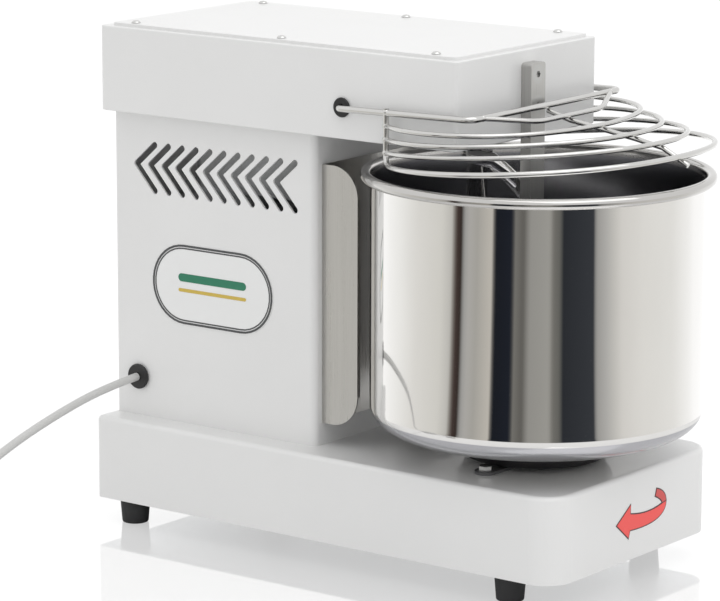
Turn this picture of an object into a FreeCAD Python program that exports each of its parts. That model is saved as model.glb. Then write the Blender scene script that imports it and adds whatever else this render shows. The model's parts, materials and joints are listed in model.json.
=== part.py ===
import FreeCAD, Part
import math
import os
from FreeCAD import Vector

os.makedirs("parts", exist_ok=True)

# Table-top spiral dough mixer.  +Z is up, the bowl end faces -Y, the feet stand on Z = 0, and the
# origin lies under the middle of the machine.  All sizes are in millimetres.

# ------------------------------------------------------------------ driving dimensions: casing
casing_wall = 2.0
base_width = 238.5
base_left_reach = 110.5      # left side of the base from the bowl's axis
base_depth = 480.0
base_height = 72.6
base_front_radius = 25.0
base_rear_radius = 5.0
base_edge_radius = 4.0
bottom_plate_wall = 2.0
chassis_wall = 5.0
chassis_gap = 6.0            # chassis plate to the inside of the base walls
chassis_rail_wall = 4.0

foot_height = 22.0
foot_radius = 13.0
foot_taper = 1.5
foot_side_inset = 19.5       # foot axis to the side of the base
foot_front_inset = 55.0
foot_rear_inset = 27.0
foot_bore_depth = 10.0
foot_bore_radius = 6.5
foot_screw_radius = 3.0
foot_screw_head_radius = 5.5
foot_screw_head_height = 4.0

column_width = 171.0
column_depth = 216.0
column_rear_inset = 5.0      # back of the column ahead of the back of the base
column_front_radius = 6.0
column_flange = 17.0
shaft_passage_radius = 24.0

head_width = 199.5
head_depth = 374.0
head_height = 73.0
head_over_bowl = 24.7        # underside of the head above the bowl's rim
head_rear_inset = 0.3
head_corner_radius = 4.0
head_least_radius = 0.5
head_edge_radius = 1.25
head_flange = 18.0
lid_wall = 2.5
lid_inset = 5.0
lid_rear_inset = 9.0
lid_corner_radius = 5.0

vent_count = 11
vent_pitch = 15.2
vent_first_from_back = 28.0  # tip of the rearmost chevron
vent_below_head = 45.4       # tip of the chevrons
vent_slot_radius = 2.9
vent_run = 20.0
vent_rise = 17.5
vent_drop = 22.0

back_cover_wall = 1.5
back_cover_inset = 6.0
back_cover_corner_radius = 4.0
splash_wall = 1.2
splash_half_width = 76.0
splash_reach = 37.0
splash_height = 219.5
splash_height_above_base = 19.1
splash_corner_radius = 26.0
splash_lip = 4.0

pan_screw_radius = 2.0
pan_screw_head_radius = 4.0
pan_screw_head_height = 2.2
pan_screw_length = 8.0
pan_screw_dome = 0.62       # top of the domed head, as a share of its foot
lid_screw_inset = 13.5       # lid screw to the side of the head
lid_screw_front_inset = 30.0
lid_screw_rear_inset = 29.0
cover_screw_inset = 6.0
splash_screw_spread = 50.0
splash_screw_end = 30.0

# ------------------------------------------------------------------ driving dimensions: bowl
bowl_from_back = 385.4       # bowl axis ahead of the back of the base
bowl_radius = 137.5
bowl_wall = 1.2
bowl_height = 218.7
bowl_corner_radius = 23.0
rim_tube_radius = 4.4
rim_overlap = 0.6
hub_disc_radius = 64.0
hub_disc_foot_radius = 60.0
hub_disc_gap = 1.4           # rotating disc above the fixed bearing flange
hub_disc_height = 19.0
hub_disc_skirt = 5.5

# ------------------------------------------------------------------ driving dimensions: tools
spiral_from_back = 324.0     # spiral axis ahead of the back of the base
spiral_rod_radius = 6.5
spiral_sweep_radius = 49.5
spiral_turns = 1.25
spiral_bottom_gap = 6.0      # rod above the inside of the bowl
spiral_hub_radius = 13.0
spiral_hub_height = 12.0
spiral_hub_drop = 9.0        # top of the spiral's hub below the head
spiral_shaft_reach = 74.0    # shaft end below the head
spiral_top_angle = 200.0     # where the rod leaves its hub, in degrees round the shaft
spiral_lead_turn = 0.55      # turn, in radians, over which the rod swings out from the hub
spiral_lead_drop = 2.0
spiral_ease = 0.06           # how much steeper the winding is at its top than at its foot
spiral_tail_turn = 0.9       # turn, in radians, over which the foot of the rod swings in
spiral_tail_share = 0.92
spiral_tail_rise = 0.3
spiral_lead_points = 5       # curve points of the lead-in and of the tail
spiral_wind_points = 24
spiral_end_radius = 3.4      # rounding of the shaft's lower end
breaker_width = 20.0
breaker_thickness = 10.0
breaker_top_drop = 10.4      # top of the bar below the top of the head
breaker_bottom_gap = 14.0
breaker_corner_radius = 3.0
breaker_screw_drop = 9.5
breaker_screw_pitch = 25.0
breaker_screw_radius = 4.0
breaker_screw_head_radius = 8.0
breaker_screw_head_height = 4.0
breaker_screw_reach = 8.0
hex_socket_flat = 5.0
hex_socket_depth = 2.6

# ------------------------------------------------------------------ driving dimensions: guard
guard_rod_radius = 3.0
guard_upright_radius = 2.9
guard_hoop_radius = 2.8
guard_rib_radius = 2.5
guard_rib_bend = 12.0
guard_half_width = 107.5
guard_bend_radius = 5.0
guard_corner_radius = 9.0
guard_pivot_from_back = 260.4
guard_pivot_height = 26.3    # pivot axis above the underside of the head
guard_bar_reach = 133.6      # pivot axis to the front bar
guard_bar_rise = 2.6
guard_upright_reach = 50.0   # pivot axis to the uprights
guard_stub_inner = 80.0      # inner end of the pivot stubs
guard_rib_sink = 0.8
guard_collar_radius = 9.0
guard_cam_radius = 13.0
guard_cam_width = 7.0
guard_collar_gap = 0.4
bushing_radius = 8.25
bushing_flange = 2.5
bushing_body_radius = 5.5
bushing_nut = 3.0
# widest half-width, corner radius, front reach, height at the uprights and at the front
# for each wire hoop; reach is from the uprights, heights are above the bowl's rim
guard_hoops = (
    (124.0, 81.0, 139.0, 41.5, 43.0),
    (126.5, 92.0, 169.0, 30.5, 38.5),
    (125.0, 109.0, 194.5, 19.8, 33.8),
    (142.0, 125.0, 213.0, 9.0, 24.5),
)
guard_loop_half_width = 92.0
guard_loop_front_half_width = 46.0
guard_loop_reach = 22.5
guard_loop_drop = 6.0
guard_loop_radius = 45.0
guard_rib_overhang = 6.0     # past the lowest hoop

# ------------------------------------------------------------------ driving dimensions: drive
shaft_fit = 0.05             # radial running clearance of a shaft in a bearing
shaft_radius = 8.5
bearing_radius = 17.5
bearing_width = 10.0
lay_shaft_radius = 5.0
lay_bearing_radius = 13.0
lay_bearing_width = 8.0
rotor_shaft_radius = 6.0
rotor_nose_radius = 5.0
rotor_bearing_radius = 16.0
rotor_bearing_width = 10.0
bearing_lip = 3.0
seal_recess = 0.6

gear_module = 1.0
gear_wheel_teeth = 72
gear_pinion_teeth = 22
gear_backlash = 0.16
gear_width = 12.0
gear_pinion_extra = 2.0
gear_hub_radius = 14.0
gear_hub_gap = 1.0           # hub to the bearing above it
pressure_angle = math.radians(20.0)

main_shaft_from_back = 168.0
case_wall = 5.0
case_floor = 6.0
case_height = 54.0
case_lid_wall = 6.0
case_gap = 2.0               # gear tips to the case wall
case_below_head = 8.9        # lid of the gear case below the head
case_boss_height = 6.0
case_wing_wall = 6.0
case_wing_half_depth = 30.0
case_screw_radius = 1.5
case_screw_head_radius = 2.5
case_screw_head_height = 3.0

motor_radius = 50.0
motor_wall = 4.0
motor_length = 120.0
motor_end_wall = 6.0
motor_boss_radius = 20.0
motor_fin_count = 24
motor_fin_height = 5.0
motor_fin_wall = 2.0
motor_fin_end = 12.0
rotor_radius = 24.5
rotor_air_gap = 0.5
rotor_length = 60.0
winding_length = 12.0
winding_wall = 12.0
fan_radius = 40.0
fan_height = 12.0
fan_blades = 6
fan_blade_wall = 2.0
fan_hub_radius = 12.0
fan_cover_height = 32.0
fan_cover_wall = 1.5
fan_gap = 4.0
fan_vent_rings = ((20.0, 8), (32.0, 12))      # circle radius and number of holes
fan_vent_radius = 3.0
capacitor_radius = 17.0
capacitor_height = 66.0
capacitor_edge_radius = 2.0
capacitor_gap = 11.5         # between the can and the side of the column
capacitor_from_back = 185.0

spiral_pulley_radius = 30.0
spiral_drive_pulley_radius = 36.0
bowl_pulley_radius = 75.0
bowl_drive_pulley_radius = 15.0
pulley_width = 15.0
pulley_flange = 2.0
pulley_flange_wall = 1.2
pulley_web = 4.0
pulley_hub_radius = 16.0
belt_wall = 3.5
belt_gap = 0.3
belt_side_gap = 0.8
head_pulley_height = 36.0    # underside of the head pulleys above the head's underside
base_pulley_height = 20.0    # underside of the base pulleys above the bottom of the base
shaft_end_reach = 4.0

housing_radius = 24.0
housing_flange_radius = 40.0
housing_flange_wall = 5.0
housing_spigot_radius = 22.0
housing_spigot_drop = 2.0
housing_seal_wall = 1.0
bowl_housing_depth = 34.0
bowl_flange_wall = 2.5
bowl_bolt_spread = 71.0
bowl_bolt_radius = 3.0
bowl_bolt_flat = 5.0         # half the distance across the flats of the hexagon head
bowl_bolt_head_height = 4.0
bowl_bolt_length = 12.0
bowl_bolt_ear_radius = 9.0

# ------------------------------------------------------------------ driving dimensions: controls
switch_from_back = 175.0
switch_height_above_base = 140.0
switch_plate_height = 86.0
switch_plate_depth = 50.0
switch_plate_wall = 3.0
switch_plate_radius = 6.0
switch_body_height = 70.0
switch_body_depth = 40.0
switch_body_reach = 30.0
button_radius = 10.0
button_fit = 0.25
button_spread = 18.0
button_proud = 4.0
button_well = 12.0
button_travel_gap = 5.0
button_stem_radius = 3.0
button_edge_radius = 1.5
guard_switch_depth = 20.0
guard_switch_width = 10.0
guard_switch_gap = 0.5       # cam to the top of the switch
terminal_depth = 44.0
terminal_height = 24.0
terminal_width = 18.0
terminal_from_back = 70.0
terminal_height_above_base = 8.0

# ------------------------------------------------------------------ driving dimensions: mains lead
cord_radius = 3.5
gland_from_back = 29.0
gland_height_above_base = 34.4
gland_radius = 11.0
gland_flange_share = 0.5     # flange's share of the gland's length outside the wall
gland_nose_radius = 10.0
gland_tip_radius = 7.5
gland_outside = 4.5
gland_thread_radius = 8.0
gland_nut_radius = 10.5
gland_nut_wall = 4.0
gland_length = 22.0
coil_mean_radius = 38.5
coil_columns = 3
coil_layers = 2
coil_to_left = 432.0         # coil's middle from the middle of the machine
coil_to_back = 178.0
plug_radius = 18.0
plug_length = 38.0
plug_neck_radius = 6.5
plug_neck_end_radius = 9.5
plug_neck_length = 22.0
plug_edge_radius = 3.0
plug_pin_radius = 2.4
plug_pin_length = 19.0
plug_pin_spread = 9.5

# ------------------------------------------------------------------ places that follow
rim_reach = bowl_radius + 2 * rim_tube_radius - rim_overlap
y_back = (bowl_from_back + rim_reach) / 2


def ahead(distance):
    """Y of a place this far ahead of the back of the base."""
    return y_back - distance


z_base = foot_height
z_base_top = z_base + base_height
y_base_front = ahead(base_depth)
y_column_back = ahead(column_rear_inset)
y_column_front = y_column_back - column_depth
y_head_back = ahead(head_rear_inset)
y_head_front = y_head_back - head_depth
y_bowl = ahead(bowl_from_back)
y_spiral = ahead(spiral_from_back)
y_main = ahead(main_shaft_from_back)
gear_centres = gear_module * (gear_wheel_teeth + gear_pinion_teeth) / 2
y_lay = y_main + gear_centres
y_motor = y_lay + gear_centres
x_base_left = -base_left_reach
x_base_right = base_width - base_left_reach
half_column = column_width / 2
half_head = head_width / 2

z_flange_top = z_base_top + bowl_flange_wall
z_disc = z_flange_top + hub_disc_gap
z_bowl = z_disc + hub_disc_height
z_bowl_inside = z_bowl + bowl_wall
z_rim_top = z_bowl + bowl_height
z_rim = z_rim_top - rim_tube_radius
z_head = z_rim_top + head_over_bowl
z_head_top = z_head + head_height
z_lid_top = z_head_top + lid_wall

z_case_top = z_head - case_below_head
z_case_lid = z_case_top - case_lid_wall
z_case = z_case_lid - case_height
z_motor_top = z_case - case_boss_height
z_motor = z_motor_top - motor_length
z_fan_cover = z_motor - fan_cover_height
z_head_pulleys = z_head + head_pulley_height
z_base_pulleys = z_base + base_pulley_height
y_pivot = ahead(guard_pivot_from_back)
z_pivot = z_head + guard_pivot_height


# ------------------------------------------------------------------ shape helpers
def block(x0, x1, y0, y1, z0, z1):
    """Box between two corners."""
    return Part.makeBox(x1 - x0, y1 - y0, z1 - z0, Vector(x0, y0, z0))


def post(x, y, z0, z1, radius):
    """Upright cylinder."""
    return Part.makeCylinder(radius, z1 - z0, Vector(x, y, z0))


def ring(x, y, z0, z1, outer, inner):
    """Upright tube."""
    return post(x, y, z0, z1, outer).cut(post(x, y, z0, z1, inner))


def spindle(start, direction, length, radius):
    """Cylinder from a point along a direction."""
    return Part.makeCylinder(radius, length, start, direction)


def cone(x, y, z0, z1, radius0, radius1):
    """Upright frustum."""
    return Part.makeCone(radius0, radius1, z1 - z0, Vector(x, y, z0))


def join(shapes):
    """One solid out of shapes that overlap or share a face."""
    joined = shapes[0].multiFuse(shapes[1:]) if len(shapes) > 1 else shapes[0]
    return joined.removeSplitter()


def group(shapes):
    """Separate solids kept in one node."""
    return Part.makeCompound(shapes)


def line(start, end):
    """Straight edge."""
    return Part.LineSegment(start, end).toShape()


def arc(start, middle, end):
    """Circular edge through three points."""
    return Part.Arc(start, middle, end).toShape()


def in_plan(z):
    """Places flat outline points (x, y) at a height."""
    return lambda p: Vector(p.x, p.y, z)


def in_side_view(x):
    """Places flat outline points (y, z) at a distance across."""
    return lambda p: Vector(x, p.x, p.y)


def in_front_view(y):
    """Places flat outline points (x, z) at a depth."""
    return lambda p: Vector(p.x, y, p.y)


def outline(corners, place):
    """Closed wire round corners (u, v, radius), each rounded by its own radius."""
    bends = []
    for index, (u, v, radius) in enumerate(corners):
        here = Vector(u, v, 0)
        last = corners[index - 1]
        following = corners[(index + 1) % len(corners)]
        back = (Vector(last[0], last[1], 0) - here).normalize()
        onward = (Vector(following[0], following[1], 0) - here).normalize()
        if radius == 0:
            bends.append((here, None, here))
            continue
        half = back.getAngle(onward) / 2
        reach = radius / math.tan(half)
        centre = here + (back + onward).normalize() * (radius / math.sin(half))
        middle = centre + (here - centre).normalize() * radius
        bends.append((here + back * reach, middle, here + onward * reach))
    edges = []
    for index, (start, middle, end) in enumerate(bends):
        if middle:
            edges.append(arc(place(start), place(middle), place(end)))
        next_start = bends[(index + 1) % len(bends)][0]
        edges.append(line(place(end), place(next_start)))
    return Part.Wire(edges)


def rectangle(u0, u1, v0, v1, low_radius, high_radius):
    """Corners of a rectangle, with one radius at its low v end and one at its high v end."""
    return [(u0, v0, low_radius), (u1, v0, low_radius), (u1, v1, high_radius), (u0, v1, high_radius)]


def slab(corners, z0, z1):
    """Upright prism over a plan outline."""
    return Part.Face(outline(corners, in_plan(z0))).extrude(Vector(0, 0, z1 - z0))


def side_plate(corners, x0, x1):
    """Prism across the machine over an outline in (y, z)."""
    return Part.Face(outline(corners, in_side_view(x0))).extrude(Vector(x1 - x0, 0, 0))


def front_plate(corners, y0, y1):
    """Prism along the machine over an outline in (x, z)."""
    return Part.Face(outline(corners, in_front_view(y0))).extrude(Vector(0, y1 - y0, 0))


def chevron(start, tip, end, radius, x0, x1):
    """Prism across the machine over a round-ended V stroke through three points (y, z)."""
    inward = (tip - start).normalize()
    onward = (end - tip).normalize()
    first = Vector(inward.y, -inward.x, 0)
    second = Vector(onward.y, -onward.x, 0)
    bisector = (first + second).normalize()
    if bisector.dot(inward) < 0:
        first, second, bisector = first * -1, second * -1, bisector * -1
    notch = tip - bisector * (radius / bisector.dot(first))
    place = in_side_view(x0)
    edges = [
        line(place(start + first * radius), place(tip + first * radius)),
        arc(place(tip + first * radius), place(tip + bisector * radius), place(tip + second * radius)),
        line(place(tip + second * radius), place(end + second * radius)),
        arc(place(end + second * radius), place(end + onward * radius), place(end - second * radius)),
        line(place(end - second * radius), place(notch)),
        line(place(notch), place(start - first * radius)),
        arc(place(start - first * radius), place(start - inward * radius),
            place(start + first * radius)),
    ]
    return Part.Face(Part.Wire(edges)).extrude(Vector(x1 - x0, 0, 0))


def edges_at(shape, axis, value):
    """Edges that lie wholly at one coordinate."""
    found = []
    for edge in shape.Edges:
        box = edge.BoundBox
        low = (box.XMin, box.YMin, box.ZMin)[axis]
        high = (box.XMax, box.YMax, box.ZMax)[axis]
        if abs(low - value) < 1e-4 and abs(high - value) < 1e-4:
            found.append(edge)
    return found


def rod(edges, radius):
    """Round rod along a smooth chain of edges."""
    first = edges[0]
    section = Part.Wire(Part.makeCircle(radius, first.valueAt(first.FirstParameter),
                                        first.tangentAt(first.FirstParameter)))
    return Part.Wire(edges).makePipeShell([section], True, False)


def screw_down(x, y, z, head_radius, head_height, radius, length):
    """Screw with a domed head standing on height z and its shank pointing down."""
    head = cone(x, y, z, z + head_height, head_radius, head_radius * pan_screw_dome)
    return head.fuse(post(x, y, z - length, z, radius))


def screw_along_y(x, y, z, towards):
    """Pan-head screw whose head rests on plane y; towards is the way that its head points."""
    way = Vector(0, towards, 0)
    head = Part.makeCone(pan_screw_head_radius, pan_screw_head_radius * pan_screw_dome,
                         pan_screw_head_height, Vector(x, y, z), way)
    return head.fuse(spindle(Vector(x, y, z), way * -1, pan_screw_length, pan_screw_radius))


def hole_along_y(x, y, z):
    """Hole for a pan-head screw that crosses plane y."""
    start = Vector(x, y - pan_screw_length, z)
    return spindle(start, Vector(0, 1, 0), 2 * pan_screw_length, pan_screw_radius)


def sealed_bearing(x, y, z0, width, outer, inner):
    """Sealed ball bearing: one ring with shallow recesses for its seals."""
    body = ring(x, y, z0, z0 + width, outer, inner)
    low = ring(x, y, z0, z0 + seal_recess, outer - bearing_lip, inner + bearing_lip)
    high = ring(x, y, z0 + width - seal_recess, z0 + width, outer - bearing_lip, inner + bearing_lip)
    return body.cut(low).cut(high)


# ------------------------------------------------------------------ places of the fasteners
foot_places = [(x, y)
               for x in (x_base_left + foot_side_inset, x_base_right - foot_side_inset)
               for y in (y_base_front + foot_front_inset, y_back - foot_rear_inset)]
y_lid_front = y_head_front + lid_inset
y_lid_back = y_head_back - lid_rear_inset
y_lid_screw_front = y_head_front + lid_screw_front_inset
y_lid_screw_rear = y_head_back - lid_screw_rear_inset
y_lid_screws = (y_lid_screw_front, (y_lid_screw_front + y_lid_screw_rear) / 2, y_lid_screw_rear)
lid_screw_places = [(sign * (half_head - lid_screw_inset), y) for sign in (-1, 1) for y in y_lid_screws]
z_cover = z_base_top + back_cover_inset
z_cover_top = z_head - back_cover_inset
half_cover = half_column - back_cover_inset
cover_screw_places = [(sign * (half_cover - cover_screw_inset), z)
                      for sign in (-1, 1)
                      for z in (z_cover + cover_screw_inset, (z_cover + z_cover_top) / 2,
                                z_cover_top - cover_screw_inset)]
z_splash = z_base_top + splash_height_above_base
z_splash_top = z_splash + splash_height
splash_screw_places = [(sign * splash_screw_spread, z)
                       for sign in (-1, 1)
                       for z in (z_splash + splash_screw_end, z_splash_top - splash_screw_end)]


# ------------------------------------------------------------------ base
def base_plan(inset):
    """Plan of the base, inset by a wall."""
    return rectangle(x_base_left + inset, x_base_right - inset, y_base_front + inset, y_back - inset,
                     base_front_radius - inset, base_rear_radius - inset)


def base_shell():
    """Sheet-metal tray turned upside down, with soft upper edges."""
    outer = slab(base_plan(0), z_base, z_base_top)
    outer = outer.makeFillet(base_edge_radius, edges_at(outer, 2, z_base_top))
    shell = outer.cut(slab(base_plan(casing_wall), z_base, z_base_top - casing_wall))
    cuts = [post(0, y_main, z_base, z_base_top, shaft_passage_radius),
            post(0, y_bowl, z_base, z_base_top, housing_radius)]
    for sign in (-1, 1):
        cuts.append(post(sign * bowl_bolt_spread, y_bowl, z_base, z_base_top, bowl_bolt_radius))
    return shell.cut(group(cuts))


def base_bottom_plate():
    """Plate that closes the underside, resting on the feet."""
    plate = slab(base_plan(casing_wall), z_base, z_base + bottom_plate_wall)
    holes = [post(x, y, z_base, z_base + bottom_plate_wall, foot_screw_radius) for x, y in foot_places]
    return plate.cut(group(holes))


def chassis_plate():
    """Carrier plate under the top of the base, with two rails down to the bottom plate."""
    x0 = x_base_left + casing_wall + chassis_gap
    x1 = x_base_right - casing_wall - chassis_gap
    y0 = y_base_front + casing_wall + base_front_radius
    y1 = y_back - casing_wall - chassis_gap
    top = z_base_top - casing_wall
    plate = block(x0, x1, y0, y1, top - chassis_wall, top)
    rails = [block(side - chassis_rail_wall / 2, side + chassis_rail_wall / 2, y0, y1,
                   z_base + bottom_plate_wall, top - chassis_wall)
             for side in (x0 + chassis_rail_wall / 2, x1 - chassis_rail_wall / 2)]
    boss = post(0, y_main, top - bearing_width - chassis_wall, top, bearing_radius + case_wall)
    cuts = [post(0, y_main, top - bearing_width, top, bearing_radius),
            post(0, y_main, z_base, top, bearing_radius - bearing_lip),
            post(0, y_bowl, z_base, top, housing_radius)]
    for sign in (-1, 1):
        cuts.append(post(sign * bowl_bolt_spread, y_bowl, z_base, top, bowl_bolt_radius))
    return join([plate, boss] + rails).cut(group(cuts))


def rubber_feet():
    """Four tapered rubber feet with a counterbore for the screw."""
    feet = []
    for x, y in foot_places:
        foot = cone(x, y, 0, foot_height, foot_radius - foot_taper, foot_radius)
        foot = foot.cut(post(x, y, 0, foot_bore_depth, foot_bore_radius))
        feet.append(foot.cut(post(x, y, 0, foot_height, foot_screw_radius)))
    return group(feet)


def feet_screws():
    """Screws up through the feet, heads inside the counterbores."""
    screws = []
    top = z_base + bottom_plate_wall
    for x, y in foot_places:
        head = post(x, y, foot_bore_depth - foot_screw_head_height, foot_bore_depth,
                    foot_screw_head_radius)
        screws.append(head.fuse(post(x, y, foot_bore_depth, top, foot_screw_radius)))
    return group(screws)


# ------------------------------------------------------------------ column and head casings
def column_plan(inset):
    """Plan of the column, inset by a wall."""
    return rectangle(-half_column + inset, half_column - inset, y_column_front + inset,
                     y_column_back - inset, column_front_radius - inset, 0)


def vent_slots():
    """Chevron slots through both sides of the column."""
    z_tip = z_head - vent_below_head
    slots = []
    for index in range(vent_count):
        tip = Vector(ahead(vent_first_from_back + index * vent_pitch), z_tip, 0)
        slots.append(chevron(tip + Vector(-vent_run, vent_rise, 0), tip,
                             tip + Vector(-vent_run, -vent_drop, 0), vent_slot_radius,
                             -half_column, half_column))
    return slots


def column_shell():
    """Bent sheet: front and two sides, with flanges for the back cover."""
    outer = slab(column_plan(0), z_base_top, z_head)
    cavity = slab(column_plan(casing_wall), z_base_top, z_head)
    opening = block(-half_column + column_flange, half_column - column_flange,
                    y_column_back - casing_wall, y_column_back, z_base_top, z_head)
    shell = outer.cut(cavity).cut(opening)
    cuts = vent_slots()
    cuts += [hole_along_y(x, y_column_back, z) for x, z in cover_screw_places]
    cuts += [hole_along_y(x, y_column_front, z) for x, z in splash_screw_places]
    cuts.append(spindle(Vector(-half_column, y_gland, z_gland), Vector(1, 0, 0), casing_wall,
                        gland_thread_radius))
    cuts.append(block(half_column - casing_wall, half_column,
                      y_switch - switch_body_depth / 2, y_switch + switch_body_depth / 2,
                      z_switch - switch_body_height / 2, z_switch + switch_body_height / 2))
    for cut in cuts:
        shell = shell.cut(cut)
    return shell


def column_back_cover():
    """Flat cover screwed on the back of the column."""
    corners = rectangle(-half_cover, half_cover, z_cover, z_cover_top, back_cover_corner_radius,
                        back_cover_corner_radius)
    plate = front_plate(corners, y_column_back, y_column_back + back_cover_wall)
    holes = [hole_along_y(x, y_column_back, z) for x, z in cover_screw_places]
    return plate.cut(group(holes))


def head_plan(inset):
    """Plan of the head, inset by a wall."""
    radius = max(head_corner_radius - inset, head_least_radius)
    return rectangle(-half_head + inset, half_head - inset, y_head_front + inset,
                     y_head_back - inset, radius, radius)


def head_shell():
    """Deep tray with an inward flange round its top, under the lid."""
    outer = slab(head_plan(0), z_head, z_head_top)
    rims = edges_at(outer, 2, z_head_top) + edges_at(outer, 2, z_head)
    outer = outer.makeFillet(head_edge_radius, rims)
    shell = outer.cut(slab(head_plan(casing_wall), z_head + casing_wall, z_head_top - casing_wall))
    shell = shell.cut(slab(head_plan(head_flange), z_head_top - casing_wall, z_head_top))
    cuts = [post(0, y_main, z_head, z_head + casing_wall, shaft_passage_radius),
            post(0, y_spiral, z_head, z_head + casing_wall, housing_spigot_radius)]
    cuts += [post(x, y, z_head_top - casing_wall, z_head_top, pan_screw_radius)
             for x, y in lid_screw_places]
    cuts.append(spindle(Vector(-half_head, y_pivot, z_pivot), Vector(1, 0, 0), head_width,
                        bushing_body_radius))
    cuts += [spindle(Vector(0, y_head_front, z), Vector(0, 1, 0), casing_wall, breaker_screw_radius)
             for z in breaker_screw_heights]
    return shell.cut(group(cuts))


def head_lid():
    """Flat lid on the head's flange."""
    plan = rectangle(-half_head + lid_inset, half_head - lid_inset, y_lid_front, y_lid_back,
                     lid_corner_radius, lid_corner_radius)
    lid = slab(plan, z_head_top, z_lid_top)
    holes = [post(x, y, z_head_top, z_lid_top, pan_screw_radius) for x, y in lid_screw_places]
    return lid.cut(group(holes))


def splash_plate():
    """Stainless channel on the front of the column, flanges towards the bowl."""
    y1 = y_column_front
    y0 = y1 - splash_reach
    web = block(-splash_half_width, splash_half_width, y1 - splash_wall, y1, z_splash, z_splash_top)
    pieces = [web]
    for sign in (-1, 1):
        corners = rectangle(y0, y1, z_splash, z_splash_top, 0, 0)
        corners[0] = (y0, z_splash, splash_corner_radius)
        corners[3] = (y0, z_splash_top, splash_corner_radius)
        faces = sorted((sign * splash_half_width, sign * (splash_half_width - splash_wall)))
        pieces.append(side_plate(corners, faces[0], faces[1]))
        lips = sorted((sign * splash_half_width, sign * (splash_half_width - splash_lip)))
        pieces.append(block(lips[0], lips[1], y0, y0 + splash_wall,
                            z_splash + splash_corner_radius, z_splash_top - splash_corner_radius))
    plate = join(pieces)
    return plate.cut(group([hole_along_y(x, y1, z) for x, z in splash_screw_places]))


def casing_screws():
    """Domed screws of the lid, of the back cover and of the splash plate."""
    screws = [screw_along_y(x, y_column_back + back_cover_wall, z, 1) for x, z in cover_screw_places]
    screws += [screw_along_y(x, y_column_front - splash_wall, z, -1) for x, z in splash_screw_places]
    screws += [screw_down(x, y, z_lid_top, pan_screw_head_radius, pan_screw_head_height,
                          pan_screw_radius, lid_wall + casing_wall) for x, y in lid_screw_places]
    return group(screws)


# ------------------------------------------------------------------ breaker bar
z_breaker_top = z_head_top - breaker_top_drop
z_breaker = z_bowl_inside + breaker_bottom_gap
breaker_screw_heights = [z_breaker_top - breaker_screw_drop - index * breaker_screw_pitch
                         for index in (0, 1)]


def breaker_screw_body(z):
    """Countersunk screw without its socket, head flush with the front of the bar."""
    front = y_head_front - breaker_thickness
    head = Part.makeCone(breaker_screw_head_radius, breaker_screw_radius, breaker_screw_head_height,
                         Vector(0, front, z), Vector(0, 1, 0))
    length = breaker_thickness + breaker_screw_reach
    return head.fuse(spindle(Vector(0, front, z), Vector(0, 1, 0), length, breaker_screw_radius))


def breaker_bar():
    """Flat bar down the middle of the bowl, screwed on the front of the head."""
    corners = rectangle(-breaker_width / 2, breaker_width / 2, z_breaker, z_breaker_top,
                        breaker_corner_radius, breaker_corner_radius)
    bar = front_plate(corners, y_head_front - breaker_thickness, y_head_front)
    return bar.cut(group([breaker_screw_body(z) for z in breaker_screw_heights]))


def hexagon(centre, normal, across, half_flat, depth):
    """Hexagonal prism from a centre along a normal; across is a direction towards one corner."""
    corner = half_flat / math.cos(math.pi / 6)
    other = normal.cross(across)
    points = []
    for index in range(7):
        turn = index * math.pi / 3
        points.append(centre + across * (corner * math.cos(turn)) + other * (corner * math.sin(turn)))
    return Part.Face(Part.makePolygon(points)).extrude(normal * depth)


def breaker_bar_screws():
    """Two countersunk screws with a hexagon socket."""
    screws = []
    for z in breaker_screw_heights:
        front = Vector(0, y_head_front - breaker_thickness, z)
        socket = hexagon(front, Vector(0, 1, 0), Vector(1, 0, 0), hex_socket_flat / 2, hex_socket_depth)
        screws.append(breaker_screw_body(z).cut(socket))
    return group(screws)


# ------------------------------------------------------------------ bowl and its drive
def bowl_profile(inset, z_top):
    """Half section of the bowl's body, inset by its wall."""
    radius = bowl_radius - inset
    bend = bowl_corner_radius - inset
    z0 = z_bowl + inset
    centre = Vector(radius - bend, y_bowl, z0 + bend)
    middle = centre + Vector(math.sin(math.pi / 4), 0, -math.cos(math.pi / 4)) * bend
    axis_low = Vector(0, y_bowl, z0)
    bend_start = Vector(radius - bend, y_bowl, z0)
    bend_end = Vector(radius, y_bowl, z0 + bend)
    rim_edge = Vector(radius, y_bowl, z_top)
    axis_high = Vector(0, y_bowl, z_top)
    edges = [line(axis_low, bend_start), arc(bend_start, middle, bend_end), line(bend_end, rim_edge),
             line(rim_edge, axis_high), line(axis_high, axis_low)]
    face = Part.Face(Part.Wire(edges))
    return face.revolve(Vector(0, y_bowl, 0), Vector(0, 0, 1), 360)


def bowl():
    """Polished bowl with a rolled rim."""
    z_wall_top = z_rim + rim_tube_radius / 2
    body = bowl_profile(0, z_wall_top).cut(bowl_profile(bowl_wall, z_wall_top))
    rim = Part.makeTorus(bowl_radius + rim_tube_radius - rim_overlap, rim_tube_radius,
                         Vector(0, y_bowl, z_rim), Vector(0, 0, 1))
    return body.fuse(rim)


def bowl_hub_disc():
    """Black disc that carries the bowl and turns with it."""
    skirt = cone(0, y_bowl, z_disc, z_disc + hub_disc_skirt, hub_disc_foot_radius, hub_disc_radius)
    drum = post(0, y_bowl, z_disc + hub_disc_skirt, z_bowl, hub_disc_radius)
    return join([skirt, drum]).cut(post(0, y_bowl, z_disc, z_bowl, shaft_radius))


def bowl_shaft():
    """Shaft from the bowl's pulley up to the bowl's floor."""
    return post(0, y_bowl, z_base_pulleys - shaft_end_reach, z_bowl, shaft_radius)


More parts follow.
